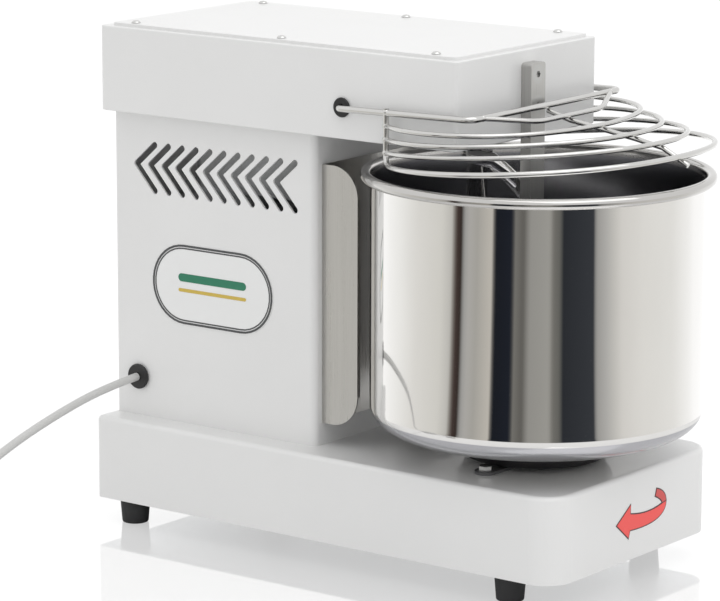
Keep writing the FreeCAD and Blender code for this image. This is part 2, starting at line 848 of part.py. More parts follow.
def pulley(y, z0, radius, web, bore):
    """Flat belt pulley with side flanges; a large one is dished to a web."""
    body = post(0, y, z0, z0 + pulley_width, radius)
    low = post(0, y, z0, z0 + pulley_flange_wall, radius + pulley_flange)
    high = post(0, y, z0 + pulley_width - pulley_flange_wall, z0 + pulley_width, radius + pulley_flange)
    wheel = join([body, low, high])
    if web:
        middle = z0 + pulley_width / 2
        recess = ring(0, y, z0, middle - pulley_web / 2, radius - pulley_web, pulley_hub_radius)
        recess_high = ring(0, y, middle + pulley_web / 2, z0 + pulley_width, radius - pulley_web,
                           pulley_hub_radius)
        wheel = wheel.cut(recess).cut(recess_high)
    return wheel.cut(post(0, y, z0, z0 + pulley_width, bore))


def belt_loop(y_rear, rear_radius, y_front, front_radius, z0, z1):
    """Prism inside an open belt that runs round two circles on the machine's centre line."""
    across_y = (front_radius - rear_radius) / (y_rear - y_front)
    across_x = math.sqrt(1 - across_y ** 2)
    rear = Vector(0, y_rear, z0)
    front = Vector(0, y_front, z0)
    right = Vector(across_x, across_y, 0)
    left = Vector(-across_x, across_y, 0)
    edges = [
        line(front + right * front_radius, rear + right * rear_radius),
        arc(rear + right * rear_radius, rear + Vector(0, rear_radius, 0), rear + left * rear_radius),
        line(rear + left * rear_radius, front + left * front_radius),
        arc(front + left * front_radius, front - Vector(0, front_radius, 0),
            front + right * front_radius),
    ]
    return Part.Face(Part.Wire(edges)).extrude(Vector(0, 0, z1 - z0))


def belt(y_rear, rear_radius, y_front, front_radius, z0):
    """Belt between the flanges of two pulleys, clear of both by the belt gap."""
    low = z0 + pulley_flange_wall + belt_side_gap
    high = z0 + pulley_width - pulley_flange_wall - belt_side_gap
    inner = belt_loop(y_rear, rear_radius + belt_gap, y_front, front_radius + belt_gap, low, high)
    reach = belt_gap + belt_wall
    outer = belt_loop(y_rear, rear_radius + reach, y_front, front_radius + reach, low, high)
    return outer.cut(inner)


def bowl_bearing_housing():
    """Flange on the base with two ears, and a tube down through the carrier plate."""
    z0 = z_flange_top - bowl_housing_depth
    waist = slab(rectangle(-bowl_bolt_spread, bowl_bolt_spread, y_bowl - bowl_bolt_ear_radius,
                           y_bowl + bowl_bolt_ear_radius, 0, 0), z_base_top, z_flange_top)
    ears = [post(sign * bowl_bolt_spread, y_bowl, z_base_top, z_flange_top, bowl_bolt_ear_radius)
            for sign in (-1, 1)]
    round_flange = post(0, y_bowl, z_base_top, z_flange_top, housing_flange_radius)
    tube = post(0, y_bowl, z0, z_flange_top, housing_radius)
    body = join([waist, round_flange, tube] + ears)
    cuts = [post(0, y_bowl, z0, z0 + bearing_width, bearing_radius),
            post(0, y_bowl, z_flange_top - bearing_width - housing_seal_wall,
                 z_flange_top - housing_seal_wall, bearing_radius),
            post(0, y_bowl, z0, z_flange_top, bearing_radius - bearing_lip)]
    cuts += [post(sign * bowl_bolt_spread, y_bowl, z_base_top, z_flange_top, bowl_bolt_radius)
             for sign in (-1, 1)]
    return body.cut(group(cuts))


def bowl_bearings():
    """Two sealed bearings in the bowl's housing."""
    z0 = z_flange_top - bowl_housing_depth
    places = (z0, z_flange_top - bearing_width - housing_seal_wall)
    return group([sealed_bearing(0, y_bowl, z, bearing_width, bearing_radius, shaft_radius + shaft_fit)
                  for z in places])


def bowl_flange_bolts():
    """Two hexagon bolts with washers that hold the flange on the base."""
    bolts = []
    for sign in (-1, 1):
        centre = Vector(sign * bowl_bolt_spread, y_bowl, z_flange_top)
        head = hexagon(centre, Vector(0, 0, 1), Vector(0, 1, 0), bowl_bolt_flat, bowl_bolt_head_height)
        shank = post(centre.x, centre.y, z_flange_top - bowl_bolt_length, z_flange_top,
                     bowl_bolt_radius)
        bolts.append(head.fuse(shank))
    return group(bolts)


# ------------------------------------------------------------------ spiral and its drive
z_hub_top = z_head - spiral_hub_drop
z_hub = z_hub_top - spiral_hub_height


def spiral_hook():
    """Round bar wound round the shaft, from a hub below the head to the floor of the bowl."""
    wind_radius = spiral_sweep_radius - spiral_rod_radius
    z_top = (z_hub + z_hub_top) / 2
    z_low = z_bowl_inside + spiral_bottom_gap + spiral_rod_radius
    points = []
    for index in range(spiral_lead_points):
        share = index / spiral_lead_points
        turn = math.radians(spiral_top_angle) + share * spiral_lead_turn
        radius = shaft_radius + (wind_radius - shaft_radius) * math.sin(share * math.pi / 2)
        points.append((radius, turn, z_top - spiral_lead_drop * share ** 2))
    start = math.radians(spiral_top_angle) + spiral_lead_turn
    drop = z_top - spiral_lead_drop - z_low
    for index in range(spiral_wind_points + 1):
        share = index / spiral_wind_points
        turn = start + share * spiral_turns * 2 * math.pi
        eased = share + spiral_ease * math.sin(2 * math.pi * share)
        points.append((wind_radius, turn, z_top - spiral_lead_drop - drop * min(eased, 1.0)))
    last_turn = points[-1][1]
    for index in range(1, spiral_lead_points + 1):
        share = index / spiral_lead_points
        swing = share * math.pi / 2 * spiral_tail_share
        points.append((wind_radius * math.cos(swing), last_turn + share * spiral_tail_turn,
                       z_low + spiral_tail_rise * share))
    path = Part.BSplineCurve()
    path.interpolate([Vector(r * math.cos(t), y_spiral + r * math.sin(t), z) for r, t, z in points])
    edge = path.toShape()
    start_point = edge.valueAt(edge.FirstParameter)
    section = Part.Wire(Part.makeCircle(spiral_rod_radius, start_point,
                                        edge.tangentAt(edge.FirstParameter)))
    rod = Part.Wire(edge).makePipeShell([section], True, True)
    end = Part.makeSphere(spiral_rod_radius, edge.valueAt(edge.LastParameter))
    hub = post(0, y_spiral, z_hub, z_hub_top, spiral_hub_radius)
    hook = join([rod, end, hub])
    return hook.cut(post(0, y_spiral, z_hub - spiral_hub_height, z_head, shaft_radius))


def spiral_shaft():
    """Shaft from the pulley in the head down into the bowl, with a rounded end."""
    z0 = z_head - spiral_shaft_reach
    z1 = z_head_pulleys + pulley_width + shaft_end_reach
    shaft = post(0, y_spiral, z0, z1, shaft_radius)
    return shaft.makeFillet(spiral_end_radius, edges_at(shaft, 2, z0))


def spiral_bearing_housing():
    """Flanged housing on the floor of the head, with a spigot through it."""
    z0 = z_head + casing_wall
    z1 = z0 + 2 * bearing_width + housing_flange_wall
    body = join([post(0, y_spiral, z0, z0 + housing_flange_wall, housing_flange_radius),
                 post(0, y_spiral, z0, z1, housing_radius),
                 post(0, y_spiral, z_head - housing_spigot_drop, z0, housing_spigot_radius)])
    cuts = [post(0, y_spiral, z0, z1, bearing_radius),
            post(0, y_spiral, z_head - housing_spigot_drop, z0, bearing_radius - bearing_lip)]
    spacer = ring(0, y_spiral, z0 + bearing_width, z0 + bearing_width + housing_flange_wall,
                  bearing_radius, bearing_radius - bearing_lip)
    return join([body.cut(group(cuts)), spacer])


def spiral_bearings():
    """Two sealed bearings in the spiral's housing."""
    z0 = z_head + casing_wall
    places = (z0, z0 + bearing_width + housing_flange_wall)
    return group([sealed_bearing(0, y_spiral, z, bearing_width, bearing_radius,
                                 shaft_radius + shaft_fit) for z in places])


# ------------------------------------------------------------------ gear case, shafts and motor
def involute(angle):
    """Involute function of a pressure angle."""
    return math.tan(angle) - angle


def gear(y, z0, width, teeth, bore):
    """Spur gear with one tooth centred on +X and every other tooth a pitch round from it."""
    pitch_radius = gear_module * teeth / 2
    base_radius = pitch_radius * math.cos(pressure_angle)
    tip_radius = pitch_radius + gear_module
    root_radius = pitch_radius - 1.25 * gear_module
    half_pitch = math.pi / (2 * teeth) - gear_backlash / (4 * pitch_radius)
    flank_start = max(base_radius, root_radius)

    def half_tooth(radius):
        pressure = math.acos(min(base_radius / radius, 1.0))
        return half_pitch + involute(pressure_angle) - involute(pressure)

    def spot(radius, turn):
        return Vector(radius * math.cos(turn), y + radius * math.sin(turn), z0)

    edges = []
    radii = (flank_start, (flank_start + tip_radius) / 2, tip_radius)
    for index in range(teeth):
        centre = 2 * math.pi * index / teeth
        rising = [spot(radius, centre - half_tooth(radius)) for radius in radii]
        falling = [spot(radius, centre + half_tooth(radius)) for radius in reversed(radii)]
        foot = half_tooth(flank_start)
        if flank_start > root_radius:
            edges.append(line(spot(root_radius, centre - foot), rising[0]))
        edges.append(arc(*rising))
        edges.append(arc(rising[2], spot(tip_radius, centre), falling[0]))
        edges.append(arc(*falling))
        if flank_start > root_radius:
            edges.append(line(falling[2], spot(root_radius, centre + foot)))
        gap = centre + math.pi / teeth
        next_foot = centre + 2 * math.pi / teeth - foot
        edges.append(arc(spot(root_radius, centre + foot), spot(root_radius, gap),
                         spot(root_radius, next_foot)))
    wheel = Part.Face(Part.Wire(edges)).extrude(Vector(0, 0, width))
    return wheel.cut(post(0, y, z0, z0 + width, bore))


wheel_tip = gear_module * (gear_wheel_teeth / 2 + 1)
pinion_tip = gear_module * (gear_pinion_teeth / 2 + 1)
z_first_stage = z_case + case_floor + gear_width / 2
z_second_stage = z_first_stage + gear_width + gear_width / 2
half_case = wheel_tip + case_gap + case_wall
y_case_front = y_main - half_case
y_case_back = y_motor + pinion_tip + case_gap + case_wall
case_screw_places = [(sign * (half_case - case_wall / 2), y)
                     for sign in (-1, 1)
                     for y in (y_case_front + 2 * case_wall, y_lay, y_case_back - 2 * case_wall)]


def gearbox_case():
    """Cast case: a deep box with bearing bosses, the motor's flange and two mounting wings."""
    plan = rectangle(-half_case, half_case, y_case_front, y_case_back, 2 * case_wall, 2 * case_wall)
    inside = rectangle(-half_case + case_wall, half_case - case_wall, y_case_front + case_wall,
                       y_case_back - case_wall, case_wall, case_wall)
    inner_half = half_column - casing_wall
    wings = block(-inner_half, inner_half, y_main - case_wing_half_depth,
                  y_main + case_wing_half_depth, z_case_lid - case_wing_wall, z_case_lid)
    body = join([slab(plan, z_case, z_case_lid), wings,
                 post(0, y_main, z_motor_top, z_case, bearing_radius + case_wall),
                 post(0, y_motor, z_motor_top, z_case, motor_radius)])
    floor = z_case + case_floor
    cuts = [slab(inside, floor, z_case_lid),
            post(0, y_main, floor - bearing_width, floor, bearing_radius),
            post(0, y_main, z_motor_top, floor, bearing_radius - bearing_lip),
            post(0, y_lay, floor - lay_bearing_width, floor, lay_bearing_radius),
            post(0, y_motor, z_motor_top, floor, rotor_shaft_radius + case_gap)]
    cuts += [post(x, y, z_case_lid - 3 * case_wall, z_case_lid, case_screw_radius)
             for x, y in case_screw_places]
    return body.cut(group(cuts))


def gearbox_lid():
    """Lid of the gear case with two bearing bosses."""
    plan = rectangle(-half_case, half_case, y_case_front, y_case_back, 2 * case_wall, 2 * case_wall)
    boss_top = z_case_top + case_boss_height
    body = join([slab(plan, z_case_lid, z_case_top),
                 post(0, y_main, z_case_lid, boss_top, bearing_radius + case_wall),
                 post(0, y_lay, z_case_lid, boss_top, lay_bearing_radius + case_wall)])
    cuts = [post(0, y_main, z_case_lid, z_case_lid + bearing_width, bearing_radius),
            post(0, y_main, z_case_lid, boss_top, bearing_radius - bearing_lip),
            post(0, y_lay, z_case_lid, z_case_lid + lay_bearing_width, lay_bearing_radius)]
    cuts += [post(x, y, z_case_lid, z_case_top, case_screw_radius) for x, y in case_screw_places]
    return body.cut(group(cuts))


def gearbox_screws():
    """Screws of the gear case's lid."""
    length = case_lid_wall + 2 * case_wall
    return group([post(x, y, z_case_top, z_case_top + case_screw_head_height, case_screw_head_radius)
                  .fuse(post(x, y, z_case_top - length, z_case_top, case_screw_radius))
                  for x, y in case_screw_places])


def drive_bearings():
    """Bearings of the main shaft, the layshaft and the motor."""
    floor = z_case + case_floor
    bore = shaft_radius + shaft_fit
    lay_bore = lay_shaft_radius + shaft_fit
    rotor_bore = rotor_shaft_radius + shaft_fit
    pieces = [sealed_bearing(0, y_main, z, bearing_width, bearing_radius, bore)
              for z in (z_base_top - casing_wall - bearing_width, floor - bearing_width, z_case_lid)]
    pieces += [sealed_bearing(0, y_lay, z, lay_bearing_width, lay_bearing_radius, lay_bore)
               for z in (floor - lay_bearing_width, z_case_lid)]
    pieces += [sealed_bearing(0, y_motor, z, rotor_bearing_width, rotor_bearing_radius, rotor_bore)
               for z in (z_motor + motor_end_wall, z_motor_top - motor_end_wall - rotor_bearing_width)]
    return group(pieces)


def main_shaft():
    """Long shaft that takes the drive up to the head and down to the base."""
    z0 = z_base_pulleys - shaft_end_reach
    z1 = z_head_pulleys + pulley_width + shaft_end_reach
    return post(0, y_main, z0, z1, shaft_radius)


def main_gear():
    """Large gear on the main shaft."""
    wheel = gear(y_main, z_second_stage, gear_width, gear_wheel_teeth, shaft_radius)
    hub = ring(0, y_main, z_second_stage + gear_width, z_case_lid - gear_hub_gap, gear_hub_radius,
               shaft_radius)
    return join([wheel, hub])


def layshaft():
    """Layshaft with its pinion cut on it."""
    floor = z_case + case_floor
    shaft = post(0, y_lay, floor - lay_bearing_width, z_case_lid + lay_bearing_width, lay_shaft_radius)
    pinion = gear(y_lay, z_second_stage - gear_pinion_extra / 2, gear_width + gear_pinion_extra,
                  gear_pinion_teeth, lay_shaft_radius)
    return join([shaft, pinion])


def layshaft_gear():
    """Large gear on the layshaft."""
    return gear(y_lay, z_first_stage, gear_width, gear_wheel_teeth, lay_shaft_radius)


def motor_pinion():
    """Pinion on the nose of the rotor's shaft."""
    return gear(y_motor, z_first_stage - gear_pinion_extra / 2, gear_width + gear_pinion_extra,
                gear_pinion_teeth, rotor_nose_radius)


def motor_housing():
    """Ribbed motor barrel with its upper end wall and bearing boss."""
    shell = ring(0, y_motor, z_motor, z_motor_top, motor_radius, motor_radius - motor_wall)
    wall = post(0, y_motor, z_motor_top - motor_end_wall, z_motor_top, motor_radius - motor_wall)
    boss = post(0, y_motor, z_motor_top - motor_end_wall - rotor_bearing_width,
                z_motor_top - motor_end_wall, motor_boss_radius)
    fins = []
    for index in range(motor_fin_count):
        fin = block(motor_radius - motor_wall / 2, motor_radius + motor_fin_height,
                    y_motor - motor_fin_wall / 2, y_motor + motor_fin_wall / 2,
                    z_motor + motor_fin_end, z_motor_top - motor_fin_end)
        fins.append(fin.rotate(Vector(0, y_motor, 0), Vector(0, 0, 1), index * 360 / motor_fin_count))
    body = join([shell, wall, boss] + fins)
    return body.cut(group([
        post(0, y_motor, z_motor_top - motor_end_wall, z_motor_top, rotor_shaft_radius + case_gap),
        post(0, y_motor, z_motor_top - motor_end_wall - rotor_bearing_width,
             z_motor_top - motor_end_wall, rotor_bearing_radius)]))


z_core = z_motor + (motor_length - rotor_length) / 2


def motor_stator():
    """Laminated core inside the barrel."""
    return ring(0, y_motor, z_core, z_core + rotor_length, motor_radius - motor_wall,
                rotor_radius + rotor_air_gap)


def motor_windings():
    """Copper end windings above and below the core."""
    outer = motor_radius - motor_wall - rotor_air_gap
    low = ring(0, y_motor, z_core - winding_length, z_core, outer, outer - winding_wall)
    high = ring(0, y_motor, z_core + rotor_length, z_core + rotor_length + winding_length, outer,
                outer - winding_wall)
    return group([low, high])


def motor_end_bell():
    """Lower end wall of the motor with its bearing boss."""
    wall = post(0, y_motor, z_motor, z_motor + motor_end_wall, motor_radius - motor_wall)
    boss = post(0, y_motor, z_motor, z_motor + motor_end_wall + rotor_bearing_width, motor_boss_radius)
    bell = join([wall, boss])
    return bell.cut(group([
        post(0, y_motor, z_motor, z_motor + motor_end_wall, rotor_shaft_radius + case_gap),
        post(0, y_motor, z_motor + motor_end_wall, z_motor + motor_end_wall + rotor_bearing_width,
             rotor_bearing_radius)]))


def fan_cover():
    """Cup over the fan, open to the barrel and pierced below."""
    outer = post(0, y_motor, z_fan_cover, z_motor, motor_radius)
    cover = outer.cut(post(0, y_motor, z_fan_cover + fan_cover_wall, z_motor,
                           motor_radius - fan_cover_wall))
    holes = []
    for radius, count in fan_vent_rings:
        for index in range(count):
            turn = 2 * math.pi * index / count
            holes.append(post(radius * math.cos(turn), y_motor + radius * math.sin(turn),
                              z_fan_cover, z_fan_cover + fan_cover_wall, fan_vent_radius))
    return cover.cut(group(holes))


def rotor_core():
    """Rotor core between the end windings."""
    return ring(0, y_motor, z_core, z_core + rotor_length, rotor_radius, rotor_shaft_radius)


def rotor_shaft():
    """Stepped shaft from the fan up to the pinion."""
    z_fan = z_motor - fan_gap - fan_height
    nose_top = z_first_stage + gear_width + gear_pinion_extra
    return join([post(0, y_motor, z_fan, z_motor_top, rotor_shaft_radius),
                 post(0, y_motor, z_motor_top, nose_top, rotor_nose_radius)])


def cooling_fan():
    """Radial fan below the motor."""
    z0 = z_motor - fan_gap - fan_height
    pieces = [post(0, y_motor, z0, z0 + fan_height, fan_hub_radius),
              post(0, y_motor, z0 + fan_height - fan_blade_wall, z0 + fan_height, fan_radius)]
    for index in range(fan_blades):
        blade = block(fan_hub_radius - fan_blade_wall, fan_radius, y_motor - fan_blade_wall / 2,
                      y_motor + fan_blade_wall / 2, z0, z0 + fan_height)
        pieces.append(blade.rotate(Vector(0, y_motor, 0), Vector(0, 0, 1), index * 360 / fan_blades))
    return join(pieces).cut(post(0, y_motor, z0, z0 + fan_height, rotor_shaft_radius))


def run_capacitor():
    """Motor capacitor standing on the floor of the column."""
    x = half_column - casing_wall - capacitor_gap - capacitor_radius
    y = ahead(capacitor_from_back)
    can = post(x, y, z_base_top, z_base_top + capacitor_height, capacitor_radius)
    return can.makeFillet(capacitor_edge_radius, edges_at(can, 2, z_base_top + capacitor_height))


# ------------------------------------------------------------------ wire guard
def hoop_edges(widest, corner, reach, rise_rear, rise_front):
    """Left-to-right centreline of a hoop: two corner arcs and a tangent front arc, tilted."""
    centre_x = widest - corner
    turn = math.acos((guard_half_width - centre_x) / corner)
    y_up = y_pivot - guard_upright_reach
    lift = math.atan2(rise_front - rise_rear, reach)
    flat_reach = math.hypot(reach, rise_front - rise_rear)
    depth = flat_reach - corner * math.sin(turn)
    front_radius = (centre_x ** 2 + depth ** 2 - corner ** 2) / (2 * (depth - corner))
    centre_y = y_up - corner * math.sin(turn)
    front_centre_y = y_up - flat_reach + front_radius
    tangent = math.atan2(centre_y - front_centre_y, centre_x)
    z0 = z_rim_top + rise_rear

    def spot(x, y, side):
        point = Vector(side * x, y, z0)
        tilt = FreeCAD.Rotation(Vector(1, 0, 0), -math.degrees(lift))
        pivot = Vector(0, y_up, z0)
        return pivot + tilt.multVec(point - pivot)

    def corner_spot(angle, side):
        return spot(centre_x + corner * math.cos(angle), centre_y + corner * math.sin(angle), side)

    def front_spot(angle, side):
        return spot(front_radius * math.cos(angle), front_centre_y + front_radius * math.sin(angle),
                    side)

    middle = (turn + tangent) / 2
    return [arc(corner_spot(turn, -1), corner_spot(middle, -1), corner_spot(tangent, -1)),
            arc(corner_spot(tangent, -1), front_spot(-math.pi / 2, 1), corner_spot(tangent, 1)),
            arc(corner_spot(tangent, 1), corner_spot(middle, 1), corner_spot(turn, 1))]


def bent_run(points, radii):
    """Edges of a bar through points, with a bend of the given radius at each inner point."""
    edges = []
    here = points[0]
    for index in range(1, len(points) - 1):
        corner = points[index]
        back = (points[index - 1] - corner).normalize()
        onward = (points[index + 1] - corner).normalize()
        half = back.getAngle(onward) / 2
        radius = radii[index - 1]
        reach = radius / math.tan(half)
        centre = corner + (back + onward).normalize() * (radius / math.sin(half))
        middle = centre + (corner - centre).normalize() * radius
        edges.append(line(here, corner + back * reach))
        edges.append(arc(corner + back * reach, middle, corner + onward * reach))
        here = corner + onward * reach
    edges.append(line(here, points[-1]))
    return edges


y_guard_bar = y_pivot - math.sqrt(guard_bar_reach ** 2 - guard_bar_rise ** 2)
z_guard_bar = z_pivot + guard_bar_rise


def wire_guard():
    """Welded wire guard: top frame with pivot stubs, uprights, hoops, front loop and rib."""
    w = guard_half_width
    frame_points = [Vector(-guard_stub_inner, y_pivot, z_pivot), Vector(-w, y_pivot, z_pivot),
                    Vector(-w, y_guard_bar, z_guard_bar), Vector(w, y_guard_bar, z_guard_bar),
                    Vector(w, y_pivot, z_pivot), Vector(guard_stub_inner, y_pivot, z_pivot)]
    bends = [guard_bend_radius, guard_corner_radius, guard_corner_radius, guard_bend_radius]
    wires = [rod(bent_run(frame_points, bends), guard_rod_radius)]
    for hoop in guard_hoops:
        wires.append(rod(hoop_edges(*hoop), guard_hoop_radius))
    y_up = y_pivot - guard_upright_reach
    z_low = z_rim_top + guard_hoops[-1][3]
    z_up = z_pivot + guard_bar_rise * guard_upright_reach / guard_bar_reach
    for side in (-1, 1):
        foot = Vector(side * w, y_up, z_low)
        wires.append(Part.makeSphere(guard_upright_radius, foot))
        wires.append(spindle(foot, Vector(0, 0, 1), z_up - z_low, guard_upright_radius))
    loop_y = y_guard_bar - guard_loop_reach
    loop_z = z_guard_bar - guard_loop_drop
    loop_points = [Vector(-guard_loop_half_width, y_guard_bar, z_guard_bar),
                   Vector(-guard_loop_front_half_width, loop_y, loop_z),
                   Vector(guard_loop_front_half_width, loop_y, loop_z),
                   Vector(guard_loop_half_width, y_guard_bar, z_guard_bar)]
    wires.append(rod(bent_run(loop_points, [guard_loop_radius] * 2), guard_hoop_radius))
    fronts = [(y_guard_bar, z_guard_bar), (loop_y, loop_z)]
    fronts += [(y_up - hoop[2], z_rim_top + hoop[4]) for hoop in guard_hoops]
    sink = guard_hoop_radius + guard_rib_radius - guard_rib_sink
    rib_points = [Vector(0, y, z - sink) for y, z in fronts]
    rib_end = (rib_points[-1] - rib_points[-2]).normalize()
    rib_points[-1] = rib_points[-1] + rib_end * guard_rib_overhang
    wires.append(rod(bent_run(rib_points, [guard_rib_bend] * (len(rib_points) - 2)), guard_rib_radius))
    return join(wires)


def guard_collars():
    """Switch cam on the left pivot stub and a plain collar on the right one."""
    inner = half_head - casing_wall - bushing_nut - guard_collar_gap
    left = spindle(Vector(-inner, y_pivot, z_pivot), Vector(1, 0, 0), guard_cam_width, guard_cam_radius)
    right = spindle(Vector(inner, y_pivot, z_pivot), Vector(-1, 0, 0), guard_cam_width,
                    guard_collar_radius)
    stub = spindle(Vector(-half_head, y_pivot, z_pivot), Vector(1, 0, 0), head_width, guard_rod_radius)
    flat = block(-inner, -inner + guard_cam_width, y_pivot - guard_cam_radius,
                 y_pivot + guard_cam_radius, z_pivot - guard_cam_radius,
                 z_pivot - guard_collar_radius)
    return group([left.cut(flat).cut(stub), right.cut(stub)])


def guard_bushings():
    """Black bushings in the sides of the head, with a nut inside."""
    pieces = []
    for sign in (-1, 1):
        way = Vector(sign, 0, 0)
        wall = Vector(sign * half_head, y_pivot, z_pivot)
        inside = Vector(sign * (half_head - casing_wall), y_pivot, z_pivot)
        flange = spindle(wall, way, bushing_flange, bushing_radius)
        body = spindle(inside, way, casing_wall, bushing_body_radius)
        nut = spindle(inside, way * -1, bushing_nut, bushing_radius)
        bush = join([flange, body, nut])
        bore = spindle(inside - way * bushing_nut, way, bushing_nut + casing_wall + bushing_flange,
                       guard_rod_radius + shaft_fit)
        pieces.append(bush.cut(bore))
    return group(pieces)


def guard_switch():
    """Safety switch under the cam, on the floor of the head."""
    x1 = -half_head + casing_wall + bushing_nut + guard_collar_gap + guard_cam_width
    x0 = x1 - guard_switch_width
    top = z_pivot - guard_cam_radius - guard_switch_gap
    return block(x0, x1, y_pivot - guard_switch_depth / 2, y_pivot + guard_switch_depth / 2,
                 z_head + casing_wall, top)


# ------------------------------------------------------------------ controls
y_switch = ahead(switch_from_back)
z_switch = z_base_top + switch_height_above_base
x_switch_face = half_column + switch_plate_wall


def switch_housing():
    """Control plate outside the column and its body inside, with two button wells."""
    plate = side_plate(rectangle(y_switch - switch_plate_depth / 2, y_switch + switch_plate_depth / 2,
                                 z_switch - switch_plate_height / 2,
                                 z_switch + switch_plate_height / 2,
                                 switch_plate_radius, switch_plate_radius),
                       half_column, x_switch_face)
    body = block(half_column - switch_body_reach, half_column,
                 y_switch - switch_body_depth / 2, y_switch + switch_body_depth / 2,
                 z_switch - switch_body_height / 2, z_switch + switch_body_height / 2)
    housing = join([plate, body])
    for lift in (button_spread, -button_spread):
        well = spindle(Vector(x_switch_face - button_well, y_switch, z_switch + lift),
                       Vector(1, 0, 0), button_well, button_radius + button_fit)
        stem = spindle(Vector(x_switch_face - 2 * button_well, y_switch, z_switch + lift),
                       Vector(1, 0, 0), button_well, button_stem_radius + button_fit)
        housing = housing.cut(well).cut(stem)
    return housing


def push_button(lift):
    """Round button with a domed edge and a stem."""
    x0 = x_switch_face - button_well + button_travel_gap
    length = x_switch_face + button_proud - x0
    cap = spindle(Vector(x0, y_switch, z_switch + lift), Vector(1, 0, 0), length, button_radius)
    cap = cap.makeFillet(button_edge_radius, edges_at(cap, 0, x0 + length))
    stem = spindle(Vector(x0 - button_well, y_switch, z_switch + lift), Vector(1, 0, 0), button_well,
                   button_stem_radius)
    return join([cap, stem])


def terminal_block():
    """Mains terminal box on the left wall of the column."""
    x0 = -half_column + casing_wall
    y1 = ahead(terminal_from_back)
    z0 = z_base_top + terminal_height_above_base
    return block(x0, x0 + terminal_width, y1 - terminal_depth, y1, z0, z0 + terminal_height)


# ------------------------------------------------------------------ mains lead
y_gland = ahead(gland_from_back)
z_gland = z_base_top + gland_height_above_base
x_gland_tip = -half_column - gland_outside


def cord_gland():
    """Cable gland: tapered nose outside, thread through the wall and nut inside."""
    wall = Vector(-half_column, y_gland, z_gland)
    out = Vector(-1, 0, 0)
    flange_wall = gland_outside * gland_flange_share
    flange = spindle(wall, out, flange_wall, gland_radius)
    nose = Part.makeCone(gland_nose_radius, gland_tip_radius, gland_outside - flange_wall,
                         wall + out * flange_wall, out)
    thread = spindle(wall, out * -1, gland_length - gland_outside, gland_thread_radius)
    nut = spindle(wall + Vector(casing_wall, 0, 0), Vector(1, 0, 0), gland_nut_wall, gland_nut_radius)
    body = join([flange, nose, thread, nut])
    bore = spindle(Vector(x_gland_tip, y_gland, z_gland), Vector(1, 0, 0), gland_length, cord_radius)
    return body.cut(bore)


# The lead leaves the gland level, sinks to the floor on the left, joins the coil, and a short
# tail leaves the coil for the plug.
lead_points = [
    Vector(x_gland_tip, y_gland, z_gland),
    Vector(-134.0, 237.0, 127.5),
    Vector(-190.0, 237.6, 120.0),
    Vector(-250.0, 236.4, 107.0),
    Vector(-302.0, 234.0, 86.0),
    Vector(-340.0, 231.0, 57.0),
    Vector(-366.0, 228.4, 27.0),
    Vector(-392.0, 225.6, 8.0),
    Vector(-418.0, 223.6, 3.6),
]
tail_points = [
    Vector(-464.0, 146.0, 10.1),
    Vector(-450.0, 131.5, 10.3),
    Vector(-440.0, 114.0, 11.5),
    Vector(-435.0, 95.0, 15.0),
    Vector(-433.5, 75.0, 18.0),
    Vector(-433.0, 57.0, 18.0),
]


def cord_tube(points):
    """Tube of straight runs and tangent arcs; prints its bends and compares its volume."""
    radii = []
    for index in range(1, len(points) - 1):
        back = points[index - 1] - points[index]
        onward = points[index + 1] - points[index]
        half_turn = (math.pi - back.getAngle(onward)) / 2
        radii.append(0.45 * min(back.Length, onward.Length) / math.tan(half_turn))
    edges = bent_run(points, radii)
    path = Part.Wire(edges)
    first = points[1] - points[0]
    section = Part.Wire(Part.makeCircle(cord_radius, points[0], first))
    tube = path.makePipeShell([section], True, False)
    expected = math.pi * cord_radius ** 2 * path.Length
    print("cord bend radii", [round(radius, 1) for radius in radii])
    print("cord length", round(path.Length, 1), "volume share", round(tube.Volume / expected, 4))
    return tube


def cord_coil():
    """One closed ring of the coil's outer shape, with the plug's end cut square to its neck."""
    half = coil_columns * cord_radius
    height = 2 * cord_radius * coil_layers
    return ring(-coil_to_left, coil_to_back, 0, height, coil_mean_radius + half,
                coil_mean_radius - half)


def mains_cord():
    """The lead's two stretches that aren't coiled."""
    coil = cord_coil()
    return group([cord_tube(lead_points).cut(coil), cord_tube(tail_points).cut(coil)])


plug_way = (tail_points[-1] - tail_points[-2]).normalize()
plug_level = Vector(plug_way.x, plug_way.y, 0).normalize()


def plug_body():
    """Round plug lying on the floor, with a tapered neck."""
    neck_start = tail_points[-1]
    neck = Part.makeCone(plug_neck_radius, plug_neck_end_radius, plug_neck_length, neck_start,
                         plug_level)
    body = spindle(neck_start + plug_level * plug_neck_length, plug_level, plug_length, plug_radius)
    return join([neck, body.makeFillet(plug_edge_radius, body.Edges[:1])])


def plug_pins():
    """Two round pins."""
    face = tail_points[-1] + plug_level * (plug_neck_length + plug_length)
    side = Vector(-plug_level.y, plug_level.x, 0)
    return group([spindle(face + side * (sign * plug_pin_spread), plug_level, plug_pin_length,
                          plug_pin_radius) for sign in (-1, 1)])


